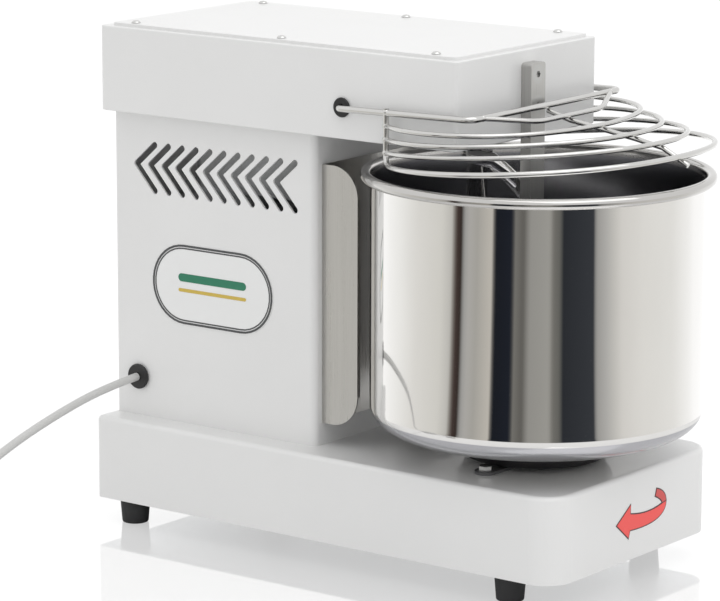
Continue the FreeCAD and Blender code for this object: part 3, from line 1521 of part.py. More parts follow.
# ------------------------------------------------------------------ nodes
nodes = {
    "base_shell": base_shell,
    "base_bottom_plate": base_bottom_plate,
    "chassis_plate": chassis_plate,
    "rubber_feet": rubber_feet,
    "feet_screws": feet_screws,
    "column_shell": column_shell,
    "column_back_cover": column_back_cover,
    "casing_screws": casing_screws,
    "head_shell": head_shell,
    "head_lid": head_lid,
    "splash_plate": splash_plate,
    "breaker_bar": breaker_bar,
    "breaker_bar_screws": breaker_bar_screws,
    "bowl": bowl,
    "bowl_hub_disc": bowl_hub_disc,
    "bowl_shaft": bowl_shaft,
    "bowl_pulley": lambda: pulley(y_bowl, z_base_pulleys, bowl_pulley_radius, True, shaft_radius),
    "bowl_bearing_housing": bowl_bearing_housing,
    "bowl_bearings": bowl_bearings,
    "bowl_flange_bolts": bowl_flange_bolts,
    "spiral_hook": spiral_hook,
    "spiral_shaft": spiral_shaft,
    "spiral_pulley": lambda: pulley(y_spiral, z_head_pulleys, spiral_pulley_radius, False,
                                    shaft_radius),
    "spiral_bearing_housing": spiral_bearing_housing,
    "spiral_bearings": spiral_bearings,
    "main_shaft": main_shaft,
    "main_gear": main_gear,
    "spiral_drive_pulley": lambda: pulley(y_main, z_head_pulleys, spiral_drive_pulley_radius, True,
                                          shaft_radius),
    "bowl_drive_pulley": lambda: pulley(y_main, z_base_pulleys, bowl_drive_pulley_radius, False,
                                        shaft_radius),
    "spiral_drive_belt": lambda: belt(y_main, spiral_drive_pulley_radius, y_spiral,
                                      spiral_pulley_radius, z_head_pulleys),
    "bowl_drive_belt": lambda: belt(y_main, bowl_drive_pulley_radius, y_bowl, bowl_pulley_radius,
                                    z_base_pulleys),
    "gearbox_case": gearbox_case,
    "gearbox_lid": gearbox_lid,
    "gearbox_screws": gearbox_screws,
    "drive_bearings": drive_bearings,
    "layshaft": layshaft,
    "layshaft_gear": layshaft_gear,
    "motor_pinion": motor_pinion,
    "motor_housing": motor_housing,
    "motor_end_bell": motor_end_bell,
    "motor_stator": motor_stator,
    "motor_windings": motor_windings,
    "rotor_core": rotor_core,
    "rotor_shaft": rotor_shaft,
    "cooling_fan": cooling_fan,
    "fan_cover": fan_cover,
    "run_capacitor": run_capacitor,
    "wire_guard": wire_guard,
    "guard_collars": guard_collars,
    "guard_bushings": guard_bushings,
    "guard_switch": guard_switch,
    "switch_housing": switch_housing,
    "terminal_block": terminal_block,
    "start_button": lambda: push_button(button_spread),
    "stop_button": lambda: push_button(-button_spread),
    "cord_gland": cord_gland,
    "mains_cord": mains_cord,
    "cord_coil": cord_coil,
    "plug_body": plug_body,
    "plug_pins": plug_pins,
}

for name, make in nodes.items():
    shape = make()
    if not shape.isValid() or not shape.Solids:
        print("bad shape:", name)
    shape.exportStep("parts/" + name + ".step")
print(len(nodes), "nodes")
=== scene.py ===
import json
import math

import bmesh
import bpy
import numpy as np
from mathutils import Matrix, Vector


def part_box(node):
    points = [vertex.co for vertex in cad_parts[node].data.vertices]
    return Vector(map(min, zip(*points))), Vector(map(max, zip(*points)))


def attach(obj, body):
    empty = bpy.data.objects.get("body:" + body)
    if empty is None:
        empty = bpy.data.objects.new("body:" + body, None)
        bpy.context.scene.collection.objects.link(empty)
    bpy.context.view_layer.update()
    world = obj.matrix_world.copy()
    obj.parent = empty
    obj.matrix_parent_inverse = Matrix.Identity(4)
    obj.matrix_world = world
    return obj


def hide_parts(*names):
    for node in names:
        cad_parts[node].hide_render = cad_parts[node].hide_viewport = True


# Table-top spiral dough mixer. Lengths inside the shape functions are in millimetres; the mesh
# and curve makers turn them into metres.

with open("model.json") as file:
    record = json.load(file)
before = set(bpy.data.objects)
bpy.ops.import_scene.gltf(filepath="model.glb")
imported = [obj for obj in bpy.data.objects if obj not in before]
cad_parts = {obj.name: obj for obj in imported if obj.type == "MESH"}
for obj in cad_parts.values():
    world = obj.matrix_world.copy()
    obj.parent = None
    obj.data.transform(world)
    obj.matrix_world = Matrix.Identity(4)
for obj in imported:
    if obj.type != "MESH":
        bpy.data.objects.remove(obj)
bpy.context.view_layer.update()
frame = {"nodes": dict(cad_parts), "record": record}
nodes = frame["nodes"]
scene = bpy.context.scene
MM = 0.001


# ---------------------------------------------------------------- camera
camera_place = Vector((-2.44085, -1.78693, 0.83497))
camera_azimuth = math.radians(-52.85)
camera_elevation = math.radians(11.65)
camera_roll = math.radians(0.13)
focal_length = 183.46
film_width = 36.0

backward = Vector((math.sin(camera_azimuth) * math.cos(camera_elevation),
                   -math.cos(camera_azimuth) * math.cos(camera_elevation),
                   math.sin(camera_elevation)))
level_right = (-backward).cross(Vector((0, 0, 1))).normalized()
level_up = level_right.cross(-backward)
right = level_right * math.cos(camera_roll) + level_up * math.sin(camera_roll)
up = level_up * math.cos(camera_roll) - level_right * math.sin(camera_roll)
lens = bpy.data.cameras.new("camera")
lens.sensor_width = film_width
lens.sensor_fit = "HORIZONTAL"
lens.lens = focal_length
lens.clip_end = 60.0
camera = bpy.data.objects.new("camera", lens)
camera.matrix_world = (Matrix.Translation(camera_place)
                       @ Matrix((right, up, backward)).transposed().to_4x4())
scene.collection.objects.link(camera)
scene.camera = camera
scene.view_settings.view_transform = "Standard"


# ---------------------------------------------------------------- places read from the frame
def place_of(node):
    """Lowest corner, highest corner and middle of a node, in millimetres."""
    low, high = (np.array(corner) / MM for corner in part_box(node))
    return low, high, (low + high) / 2


bowl_low, bowl_high, bowl_middle = place_of("bowl")
head_low, head_high, _ = place_of("head_shell")
gland_low, _, gland = place_of("cord_gland")
base_low, column_low = (place_of(node)[0] for node in ("base_shell", "column_shell"))
lid_high = place_of("head_lid")[1]
pivot, spiral_axis = (place_of(node)[2] for node in ("guard_bushings", "spiral_shaft"))
y_bowl, z_rim_top = bowl_middle[1], bowl_high[2]
upright = np.array([0.0, 0.0, 1.0])


# ---------------------------------------------------------------- mains lead
cord_radius = 3.5
lead_points = [
    (gland_low[0], 236.55, 129.0), (-134.0, 237.0, 126.0), (-190.0, 237.6, 115.0),
    (-250.0, 236.4, 100.0), (-302.0, 234.0, 82.0), (-340.0, 231.0, 56.0),
    (-366.0, 228.4, 27.0), (-392.0, 225.6, 8.0), (-418.0, 223.6, 3.6),
]
tail_points = [
    (-464.0, 146.0, 10.1), (-450.0, 131.5, 10.3), (-440.0, 114.0, 11.5), (-435.0, 95.0, 15.0),
    (-433.5, 75.0, 18.0), (-433.0, 57.0, 18.0),
]
coil_centre = (-432.0, 178.0)
coil_radii = np.array([45.5, 38.5, 31.5, 31.5, 38.5, 45.5])
coil_heights = np.array([3.5, 3.5, 3.5, 10.5, 10.5, 10.5])
coil_steps = 16
coil_count = 86
turns_inward = 3
ease_share = 0.28
upper_ease_from = 0.44


def coil_turns():
    """Control points of the wound turns, from straight behind the coil's middle: the first ones
    step inwards on the floor and the rest step outwards on top of them. A turn is level and round,
    then eases over a share of itself into the next one; the upper turns ease sooner, so that they
    clear the place where the cord climbs."""
    turns = np.arange(coil_count) / coil_steps
    here = np.floor(turns).astype(int)
    following = np.minimum(here + 1, len(coil_radii) - 1)
    ease_from = np.where(here < turns_inward, 1.0 - ease_share, upper_ease_from)
    ease = np.clip((turns - here - ease_from) / ease_share, 0, 1)
    radius = coil_radii[here] + (coil_radii[following] - coil_radii[here]) * ease
    height = coil_heights[here] + (coil_heights[following] - coil_heights[here]) * ease
    angle = math.pi / 2 + turns * 2 * math.pi
    reach = radius / math.cos(math.pi / coil_steps)
    return np.stack([coil_centre[0] + reach * np.cos(angle), coil_centre[1] + reach * np.sin(angle),
                     height], -1)


def smooth_route(points):
    """Points along the smooth spline that has the route's points as its control points."""
    curve = bpy.data.curves.new("route", "CURVE")
    curve.dimensions = "3D"
    spline = curve.splines.new("NURBS")
    spline.points.add(len(points) - 1)
    for control, point in zip(spline.points, points):
        control.co = (*(np.array(point) * MM), 1.0)
    spline.order_u = 3
    spline.use_endpoint_u = True
    spline.resolution_u = 6
    route = bpy.data.objects.new("route", curve)
    mesh = bpy.data.meshes.new_from_object(route)
    line = np.array([vertex.co for vertex in mesh.vertices]) / MM
    bpy.data.objects.remove(route)
    bpy.data.curves.remove(curve)
    bpy.data.meshes.remove(mesh)
    return line


# ---------------------------------------------------------------- meshes from grids of points
def surface(name, body, look, grids, stands_for=(), crease=35.0):
    """Mesh over grids of points (rows, columns, 3). Columns wrap round a section; rows run along
    the piece and end in a flat face, or join up when the first and last rows are the same."""
    corners, faces, first = [], [], 0
    for points in grids:
        ring = np.allclose(points[0], points[-1], atol=1e-6)
        rows = points[:-1] if ring else points
        count, columns = rows.shape[:2]
        index = first + np.arange(count * columns).reshape(count, columns)
        if ring:
            index = np.vstack([index, index[:1]])
        around = np.hstack([index, index[:, :1]])
        quads = np.stack([around[:-1, :-1], around[1:, :-1], around[1:, 1:], around[:-1, 1:]], -1)
        faces += quads.reshape(-1, 4).tolist()
        if not ring:
            faces += [index[0].tolist(), index[-1][::-1].tolist()]
        corners.append(rows.reshape(-1, 3) * MM)
        first += count * columns
    mesh = bpy.data.meshes.new(name)
    mesh.from_pydata(np.vstack(corners).tolist(), [], faces)
    shape = bmesh.new()
    shape.from_mesh(mesh)
    bmesh.ops.recalc_face_normals(shape, faces=shape.faces)
    shape.to_mesh(mesh)
    shape.free()
    mesh.polygons.foreach_set("use_smooth", np.ones(len(mesh.polygons), bool))
    mesh.set_sharp_from_angle(angle=math.radians(crease))
    mesh.materials.append(look)
    piece = bpy.data.objects.new(name, mesh)
    scene.collection.objects.link(piece)
    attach(piece, body)
    if stands_for:
        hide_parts(*stands_for)
    return piece


def bow(centre, radius, start, end, steps):
    """Circular arc in a half section: centre plus radius at angles in degrees, start to end."""
    turn = np.radians(np.linspace(start, end, steps))
    return np.asarray(centre) + radius * np.stack([np.cos(turn), np.sin(turn)], -1)


def turned(profile, origin, axis=2, segments=48):
    """Lathe: each profile point (radius, height) swept round an axis through the origin."""
    profile = np.asarray(profile, float)
    turn = np.arange(segments) * 2 * math.pi / segments
    radius, height = profile[:, :1], profile[:, 1:2] + 0 * turn
    first, second = radius * np.cos(turn), radius * np.sin(turn)
    order = {0: (height, first, second), 1: (second, height, first), 2: (first, second, height)}
    return np.stack(order[axis], -1) + np.asarray(origin, float)


def tube(line, radius, reference, sides=14):
    """Round bar: a circle of the radius round each point of a line; the reference is a direction
    at each point that the line never follows."""
    along = np.gradient(line, axis=0)
    along /= np.linalg.norm(along, axis=1, keepdims=True)
    across = np.cross(along, reference)
    across /= np.linalg.norm(across, axis=1, keepdims=True)
    beyond = np.cross(across, along)
    turn = np.arange(sides) * 2 * math.pi / sides
    return (line[:, None] + radius * (np.cos(turn)[:, None] * across[:, None]
                                      + np.sin(turn)[:, None] * beyond[:, None]))


def bent(points, radii, steps=9):
    """Line through points with a circular bend of its own radius at each inner point."""
    points = [np.array(point, float) for point in points]
    line = [points[0][None]]
    for before, corner, after, radius in zip(points, points[1:], points[2:], radii):
        back = (before - corner) / np.linalg.norm(before - corner)
        onward = (after - corner) / np.linalg.norm(after - corner)
        half = math.acos(np.clip(back @ onward, -1, 1)) / 2
        middle = corner + (back + onward) / np.linalg.norm(back + onward) * radius / math.sin(half)
        start = corner + back * radius / math.tan(half) - middle
        end = corner + onward * radius / math.tan(half) - middle
        sweep = math.acos(np.clip(start @ end / radius ** 2, -1, 1))
        share = np.linspace(0, 1, steps)[:, None]
        line.append(middle + (np.sin((1 - share) * sweep) * start + np.sin(share * sweep) * end)
                    / math.sin(sweep))
    line.append(points[-1][None])
    return np.vstack(line)


def densely(line, pitch):
    """The same line with points at most a pitch apart."""
    reach = np.r_[0, np.cumsum(np.linalg.norm(np.diff(line, axis=0), axis=1))]
    stops = np.union1d(reach, np.linspace(0, reach[-1], int(reach[-1] / pitch) + 2))
    return np.stack([np.interp(stops, reach, line[:, axis]) for axis in range(3)], -1)


# ---------------------------------------------------------------- material tools
class Wire:
    """A shader socket that takes part in arithmetic; each operation adds a Math node."""

    def __init__(self, look, socket):
        self.look, self.socket = look, socket

    def math(self, operation, *others):
        """The operation on this socket and any others."""
        return self.look.node("ShaderNodeMath", {"operation": operation},
                              dict(enumerate((self, *others))))

    def __add__(self, other):
        return self.math("ADD", other)

    def __mul__(self, other):
        return self.math("MULTIPLY", other)

    def __sub__(self, other):
        return self.math("SUBTRACT", other)

    def __rsub__(self, other):
        return self.look.node("ShaderNodeMath", {"operation": "SUBTRACT"}, {0: other, 1: self})

    def __truediv__(self, other):
        return self.math("DIVIDE", other)

    __radd__, __rmul__ = __add__, __mul__

    def clip(self, low, high):
        """0 below low, 1 above high, and a straight slope between."""
        return self.look.node("ShaderNodeMapRange", {"clamp": True},
                              {"Value": self, "From Min": low, "From Max": high})


class Look:
    """One material, with the ways that this object's finishes use its nodes."""

    def __init__(self, name, tree=None, **constants):
        if tree is None:
            self.material = bpy.data.materials.new(name)
            self.material.use_nodes = True
            tree = self.material.node_tree
        self.tree = tree
        self.shader = tree.nodes.get("Principled BSDF")
        for socket, value in constants.items():
            self.shader.inputs[socket.replace("_", " ")].default_value = value

    def node(self, kind, settings=None, sockets=None, output=0):
        """Adds a node: its settings first, then the values or links of its sockets."""
        made = self.tree.nodes.new(kind)
        for key, value in (settings or {}).items():
            if key == "stops":
                while len(made.color_ramp.elements) < len(value):
                    made.color_ramp.elements.new(0.5)
                for element, (position, colour) in zip(made.color_ramp.elements, value):
                    element.position, element.color = position, (*colour, 1.0)
            else:
                setattr(made, key, value)
        for key, value in (sockets or {}).items():
            if isinstance(value, Wire):
                self.tree.links.new(value.socket, made.inputs[key])
            else:
                made.inputs[key].default_value = value
        return Wire(self, made.outputs[output])

    def feed(self, socket, wire):
        """Lets a varying value drive one of the shader's sockets."""
        self.tree.links.new(wire.socket, self.shader.inputs[socket])

    def place(self, *stretch):
        """Object coordinates, stretched along each axis for a pattern."""
        space = self.node("ShaderNodeTexCoord", output="Object")
        return self.node("ShaderNodeMapping", None,
                         {"Vector": space, "Scale": stretch or (1.0, 1.0, 1.0)})

    def round_bowl(self):
        """Places to the right of the bowl's axis, behind it and above the floor, and the distance
        from the axis."""
        place = self.place()
        x, y, z = (self.node("ShaderNodeSeparateXYZ", None, {0: place}, axis) for axis in range(3))
        y = y - y_bowl * MM
        return x, y, z, (x * x + y * y).math("SQRT")

    def noise(self, place, scale, detail=3.0, roughness=0.5):
        """Cloudy pattern of 0 to 1."""
        return self.node("ShaderNodeTexNoise", None, {"Vector": place, "Scale": scale,
                                                      "Detail": detail, "Roughness": roughness})

    def mix(self, share, first, second):
        """Blend of two colours."""
        ends = [value if isinstance(value, Wire) else (*value, 1.0) for value in (first, second)]
        return self.node("ShaderNodeMix", {"data_type": "RGBA"},
                         {0: share, 6: ends[0], 7: ends[1]}, 2)

    def vary(self, share, colour, darker, lighter):
        """Base colour between a darker and a lighter shade of one colour."""
        self.feed("Base Color", self.mix(share, shade(colour, darker), shade(colour, lighter)))

    def relief(self, height, depth):
        """Normal from a height pattern of a depth in metres."""
        self.feed("Normal", self.node("ShaderNodeBump", None,
                                      {"Height": height, "Distance": depth, "Strength": 1.0}))


def shade(colour, factor):
    """A colour made lighter or darker."""
    return tuple(min(1.0, part * factor) for part in colour)


def powder_coat(name, colour):
    """Sprayed powder paint: faint orange peel, soft cloudiness and handling marks."""
    look = Look(name, Coat_Weight=0.4, Coat_Roughness=0.1)
    cloud = look.noise(look.place(), 7.0, 4.0)
    peel = look.noise(look.place(), 700.0, 2.0)
    rubs = look.noise(look.place(1.0, 1.0, 6.0), 22.0, 5.0, 0.62).clip(0.55, 0.78)
    look.vary(cloud.clip(0.3, 0.7), colour, 0.985, 1.015)
    look.feed("Roughness", 0.34 + 0.06 * cloud + 0.05 * rubs)
    look.relief(peel, 0.00006)
    return look.material


def brushed(name, colour, stretch, roughness=0.26, contrast=0.10):
    """Brushed metal: fine lines along the direction that is stretched least, cloudy in tone."""
    look = Look(name, Metallic=1.0)
    coarser = 9
    lines = look.noise(look.place(*stretch), 1.0, 3.0, 0.7)
    broad = look.noise(look.place(*(part / coarser for part in stretch)), 1.0, 2.0)
    look.vary((lines * 0.6 + broad * 0.4).clip(0.25, 0.75), colour, 1 - contrast, 1 + contrast)
    look.feed("Roughness", roughness + 0.14 * lines + 0.05 * broad)
    look.relief(lines, 0.00001)
    return look.material


hairline_depth = 0.0000012


def polish_marks(look):
    """Faint smears and hairlines of a polished surface."""
    return (look.noise(look.place(3.0, 3.0, 1.2), 4.0, 4.0, 0.6),
            look.noise(look.place(260.0, 260.0, 5.0), 1.0, 3.0, 0.7))


def polished(name, colour, roughness, haze):
    """Polished metal: nearly a mirror, with faint smears and hairlines."""
    look = Look(name, Metallic=1.0)
    smears, hairs = polish_marks(look)
    look.vary(smears.clip(0.3, 0.75), colour, 0.97, 1.03)
    look.feed("Roughness", roughness + haze * smears.clip(0.45, 0.8) + haze * 0.5 * hairs)
    look.relief(hairs, hairline_depth)
    return look.material


def bowl_metal(name, colour, shaded_satin, rolled, reach, floor, rim):
    """Polished outside; inside the wall's reach and above the bowl's floor a rougher satin finish
    whose darker colour is painted shade, and from the rim's height upwards a rolled edge whose
    darker colour is painted shade that dims its highlight."""
    look = Look(name, Metallic=1.0)
    _, _, z, away = look.round_bowl()
    inside = (1.0 - away.clip(reach - 0.0001, reach + 0.0001)) * z.clip(floor, floor + 0.0004)
    smears, hairs = polish_marks(look)
    bright = look.mix(smears.clip(0.3, 0.75), shade(colour, 0.97), shade(colour, 1.03))
    edge = z.clip(rim, rim + 0.001)
    # Painted shade inside the bowl and on the rolled rim: darker colours mixed into the base
    # colour.
    look.feed("Base Color", look.mix(edge, look.mix(inside, bright, shaded_satin), rolled))
    look.feed("Roughness", 0.03 + 0.03 * smears.clip(0.45, 0.8) + 0.015 * hairs + 0.16 * inside
              + 0.06 * edge)
    look.relief(hairs, hairline_depth)
    return look.material


def cast_metal(name, colour, roughness=0.5, pits=0.00015, scale=420.0, metallic=1.0):
    """Sand or die cast metal: grainy skin with darker hollows."""
    look = Look(name, Metallic=metallic)
    grain = look.noise(look.place(), scale, 5.0, 0.65)
    patches = look.noise(look.place(), 26.0, 3.0)
    look.vary((grain * 0.5 + patches * 0.5).clip(0.3, 0.7), colour, 0.78, 1.1)
    look.feed("Roughness", roughness + 0.15 * grain)
    look.relief(grain, pits)
    return look.material


def moulded(name, colour, roughness=0.42, depth=0.00005, scale=1100.0):
    """Moulded plastic or rubber: fine spark-eroded grain, slightly lighter where it is scuffed."""
    look = Look(name)
    grain = look.noise(look.place(), scale, 2.0)
    scuffs = look.noise(look.place(), 60.0, 6.0, 0.7).clip(0.56, 0.8)
    scuffed = tuple(min(1.0, part * 1.12 + 0.03) for part in colour)
    look.feed("Base Color", look.mix(scuffs * 0.6, colour, scuffed))
    look.feed("Roughness", roughness + 0.12 * grain + 0.1 * scuffs)
    look.relief(grain, depth)
    return look.material


def wound_copper(name, colour):
    """Varnished windings: rows of wire seen as close stripes, with a glossy varnish."""
    look = Look(name, Metallic=0.85)
    rows = look.node("ShaderNodeTexWave", {"wave_type": "BANDS", "bands_direction": "Z"},
                     {"Vector": look.place(), "Scale": 260.0, "Distortion": 1.5, "Detail": 1.0}, 1)
    look.vary(rows, colour, 0.45, 1.2)
    look.feed("Roughness", 0.3 + 0.2 * rows)
    look.relief(rows, 0.0003)
    return look.material


upright_lines = (900.0, 900.0, 14.0)
bright_steel = (0.80, 0.79, 0.775)
looks = {
    "white_paint": powder_coat("white_powder_coat", (0.80, 0.80, 0.795)),
    "zinc_plate": brushed("zinc_sheet", (0.60, 0.62, 0.63), (60.0, 400.0, 400.0), 0.38),
    "black_rubber": moulded("foot_rubber", (0.018, 0.018, 0.019), 0.62, 0.0001, 700.0),
    "steel_screw": polished("plated_screw", (0.66, 0.66, 0.65), 0.2, 0.12),
    "brushed_stainless": brushed("brushed_stainless", (0.66, 0.65, 0.63), upright_lines, 0.24,
                                 0.07),
    "polished_stainless": polished("polished_stainless", bright_steel, 0.035, 0.05),
    "guard_wire": polished("guard_wire", (0.64, 0.635, 0.62), 0.10, 0.08),
    "black_plastic": moulded("black_plastic", (0.012, 0.012, 0.013), 0.4),
    "ground_steel": brushed("ground_steel", (0.60, 0.60, 0.60), (300.0, 300.0, 2500.0), 0.22),
    "gear_steel": brushed("hobbed_steel", (0.42, 0.42, 0.43), (500.0, 500.0, 60.0), 0.34),
    "bearing_steel": brushed("bearing_steel", (0.58, 0.58, 0.60), (200.0, 200.0, 1800.0), 0.18),
    "cast_aluminium": cast_metal("cast_aluminium", (0.62, 0.63, 0.64), 0.42),
    "cast_iron": cast_metal("cast_iron", (0.17, 0.17, 0.175), 0.6, 0.0002, 380.0, 0.7),
    "copper_winding": wound_copper("wound_copper", (0.72, 0.34, 0.14)),
    "belt_rubber": moulded("drive_belt", (0.02, 0.02, 0.021), 0.7, 0.00012, 900.0),
    "grey_paint": powder_coat("grey_enamel", (0.33, 0.34, 0.35)),
    "capacitor_can": moulded("capacitor_can", (0.72, 0.72, 0.70), 0.3),
    "green_plastic": moulded("green_button", (0.03, 0.34, 0.09), 0.22),
    "red_plastic": moulded("red_button", (0.60, 0.025, 0.02), 0.22),
    "grey_cord": moulded("cord_sheath", (0.60, 0.60, 0.59), 0.48, 0.00008, 500.0),
    "grey_plug": moulded("plug_moulding", (0.58, 0.58, 0.575), 0.45),
    "plug_brass": brushed("plated_pins", (0.72, 0.70, 0.62), (200.0, 900.0, 900.0), 0.2),
}
# Pieces that have a finish of their own, unlike the rest of their slot. The splash plate's darker
# colour is painted shade, where it stands under the head.
own_looks = {
    # Painted shade: the splash plate is coloured darker than the rest of its slot.
    "splash_plate": brushed("splash_sheet", (0.55, 0.54, 0.52), upright_lines, 0.2, 0.08),
    "breaker_bar": brushed("bar_steel", (0.52, 0.515, 0.50), (700.0, 700.0, 12.0), 0.3, 0.12),
    "breaker_bar_screws": polished("socket_screw", (0.50, 0.50, 0.49), 0.22, 0.12),
}
slot_of = {part["node"]: part["material_slot"] for part in frame["record"]["subparts"]}
for node, part in nodes.items():
    part.data.materials.clear()
    part.data.materials.append(own_looks.get(node, looks[slot_of[node]]))

# The lead's sheath is a round section carried along the route.
lead_line = smooth_route(lead_points + coil_turns().tolist() + tail_points)
mains_lead = surface("mains_lead", "root", looks["grey_cord"],
                     [tube(lead_line, cord_radius, upright)], ("mains_cord", "cord_coil"))


# ---------------------------------------------------------------- bowl
bowl_wall, rim_radius, rim_overlap = 1.2, 4.4, 0.6
corner_height, corner_reach = 23.0, 35.0
# Painted shade: a darker colour inside the bowl, and a darker colour on the rolled rim that dims
# its highlight.
shaded_satin_steel, shaded_rim_steel = (0.46, 0.46, 0.48), (0.56, 0.55, 0.535)


def bowl_section():
    """Half section: inner floor, inner corner, wall, rolled rim, outer wall, corner and floor. The
    corner is a quarter ellipse, wider than it is high."""
    outer = bowl_high[0] - 2 * rim_radius + rim_overlap
    inner = outer - bowl_wall
    z0, z1 = bowl_low[2], bowl_high[2] - rim_radius
    roll = (outer + rim_radius - rim_overlap, z1)
    corner = bow((0.0, 0.0), 1.0, -90, 0, 30)
    middle = np.array([outer - corner_reach, z0 + corner_height])
    centre, flat = 0.4, 60.0
    return np.vstack([
        [[centre, z0 + bowl_wall], [flat, z0 + bowl_wall]],
        middle + corner * (corner_reach - bowl_wall, corner_height - bowl_wall),
        np.stack([np.full(12, inner), np.linspace(z0 + corner_height + 6, z1 - 3, 12)], -1),
        bow(roll, rim_radius, 172, -150, 30),
        np.stack([np.full(14, outer), np.linspace(z1 - 6, z0 + corner_height + 2, 14)], -1),
        middle + corner[::-1] * (corner_reach, corner_height),
        [[flat, z0], [centre, z0]],
    ])


# The satin finish and its painted shade end within the thickness of the wall and of the floor,
# and the rolled edge's painted shade begins where the rim leaves the wall.
bowl_finish = bowl_metal("bowl_metal", bright_steel, shaded_satin_steel, shaded_rim_steel,
                         (bowl_high[0] - 9.1) * MM, (bowl_low[2] + 0.5) * MM,
                         (bowl_high[2] - 2 * rim_radius) * MM)
surface("bowl_skin", "bowl_turntable", bowl_finish,
        [turned(bowl_section(), (0, y_bowl, 0), segments=192)], ("bowl",), 60.0)


def drum_section():
    """Half section of the black carrier disc: a soft lower edge, a flared foot and a plain drum."""
    low, high, _ = place_of("bowl_hub_disc")
    return np.vstack([
        [[8.6, low[2]], [50.0, low[2]]],
        bow((57.5, low[2] + 2.5), 2.5, -90, -10, 8),
        [[high[0] - 1.0, low[2] + 6.0], [high[0], low[2] + 7.0]],
        bow((high[0] - 1.5, high[2] - 1.5), 1.5, 0, 90, 6),
        [[8.6, high[2]]],
        [[8.6, low[2]]],
    ])


surface("carrier_disc", "bowl_turntable", looks["black_plastic"],
        [turned(drum_section(), (0, y_bowl, 0), segments=96)], ("bowl_hub_disc",))


# ---------------------------------------------------------------- spiral tool
rod_radius = 6.5
shaft_radius = 8.5
spiral_sweep = 49.5
floor_gap = 6.0
rod_below_head = 15.0
winding_turns = 1.25


def spiral_line():
    """Centreline of the wound bar: radius swings out from the hub, winds down one and a quarter
    turns at an eased pitch, and swings in over the floor of the bowl."""
    wind = spiral_sweep - rod_radius
    z_top = head_low[2] - rod_below_head
    z_low = bowl_low[2] + bowl_wall + floor_gap + rod_radius
    start, lead_turn, lead_drop = math.radians(200.0), 0.55, 2.0
    tail_turn, tail_rise, tail_swing = 0.9, 0.3, 0.92
    share = np.linspace(0, 1, 16, endpoint=False)
    lead = np.stack([shaft_radius + (wind - shaft_radius) * np.sin(share * math.pi / 2),
                     start + share * lead_turn, z_top - lead_drop * share ** 2], -1)
    share = np.linspace(0, 1, 150)
    eased = np.minimum(share + 0.06 * np.sin(2 * math.pi * share), 1.0)
    winding = np.stack([np.full(len(share), wind),
                        start + lead_turn + share * winding_turns * 2 * math.pi,
                        z_top - lead_drop - (z_top - lead_drop - z_low) * eased], -1)
    share = np.linspace(0, 1, 24)[1:]
    tail = np.stack([wind * np.cos(share * math.pi / 2 * tail_swing),
                     winding[-1, 1] + share * tail_turn, z_low + tail_rise * share], -1)
    radius, turn, height = np.vstack([lead, winding, tail]).T
    return np.stack([radius * np.cos(turn), spiral_axis[1] + radius * np.sin(turn), height], -1)


hub_low, hub_high = head_low[2] - 21.0, head_low[2] - 9.0
hub_bore, hub_edge, hub_radius = 8.6, 1.5, 13.0
hub_section = np.vstack([
    [[hub_bore, hub_low]],
    bow((hub_radius - hub_edge, hub_low + hub_edge), hub_edge, -90, 0, 5),
    bow((hub_radius - hub_edge, hub_high - hub_edge), hub_edge, 0, 90, 5),
    [[hub_bore, hub_high]], [[hub_bore, hub_low]],
])
surface("spiral_bar", "spiral_tool", looks["polished_stainless"],
        [tube(densely(spiral_line(), 4.0), rod_radius, upright, 20),
         turned(hub_section, (0, spiral_axis[1], 0))], ("spiral_hook",), 50.0)


# ---------------------------------------------------------------- wire guard
guard_half = 107.5
frame_wire, cradle_wire, loop_wire, hoop_wire, bead_radius = 2.7, 2.4, 2.2, 2.1, 3.2
point_pitch = 8.0
y_upright = pivot[1] - 50.0
bar_reach, bar_rise = 133.6, 2.6
y_bar, z_bar = pivot[1] - math.sqrt(bar_reach ** 2 - bar_rise ** 2), pivot[2] + bar_rise
# Each hoop, from the top down: widest half width, corner radius, reach to the front, and its rise
# over the bowl's rim at the rear and at the front.
hoop_shapes = (
    (124.0, 81.0, 139.0, 41.5, 43.0),
    (126.5, 92.0, 169.0, 30.5, 38.5),
    (125.0, 109.0, 194.5, 19.8, 33.8),
    (142.0, 125.0, 213.0, 9.0, 24.5),
)


def hoop_line(widest, corner, reach, rise_rear, rise_front):
    """Hoop from its left end to its right one: a corner arc, a front arc that it runs into without
    a kink, and a corner arc, all in one plane that is tilted about the line of the uprights."""
    centre_x = widest - corner
    turn = math.acos((guard_half - centre_x) / corner)
    lift = math.atan2(rise_front - rise_rear, reach)
    flat = math.hypot(reach, rise_front - rise_rear)
    depth = flat - corner * math.sin(turn)
    front = (centre_x ** 2 + depth ** 2 - corner ** 2) / (2 * (depth - corner))
    corner_y = -corner * math.sin(turn)
    front_y = front - flat
    tangent = math.atan2(corner_y - front_y, centre_x)
    side = np.linspace(turn, tangent, 34)
    across = np.linspace(tangent, -math.pi / 2, 40)[1:]
    half = np.vstack([
        np.stack([centre_x + corner * np.cos(side), corner_y + corner * np.sin(side)], -1),
        np.stack([front * np.cos(across), front_y + front * np.sin(across)], -1),
    ])
    x, y = np.vstack([half * (-1, 1), half[-2::-1]]).T
    return np.stack([x, y_upright + y * math.cos(lift),
                     z_rim_top + rise_rear - y * math.sin(lift)], -1)


def frame_line():
    """Top frame: pivot stub, bend, side bar, front bar, side bar, bend and pivot stub."""
    stub, rear_bend, front_bend = 80.0, 5.0, 9.0
    return densely(bent([(-stub, pivot[1], pivot[2]), (-guard_half, pivot[1], pivot[2]),
                         (-guard_half, y_bar, z_bar), (guard_half, y_bar, z_bar),
                         (guard_half, pivot[1], pivot[2]), (stub, pivot[1], pivot[2])],
                        [rear_bend, front_bend, front_bend, rear_bend]), point_pitch)


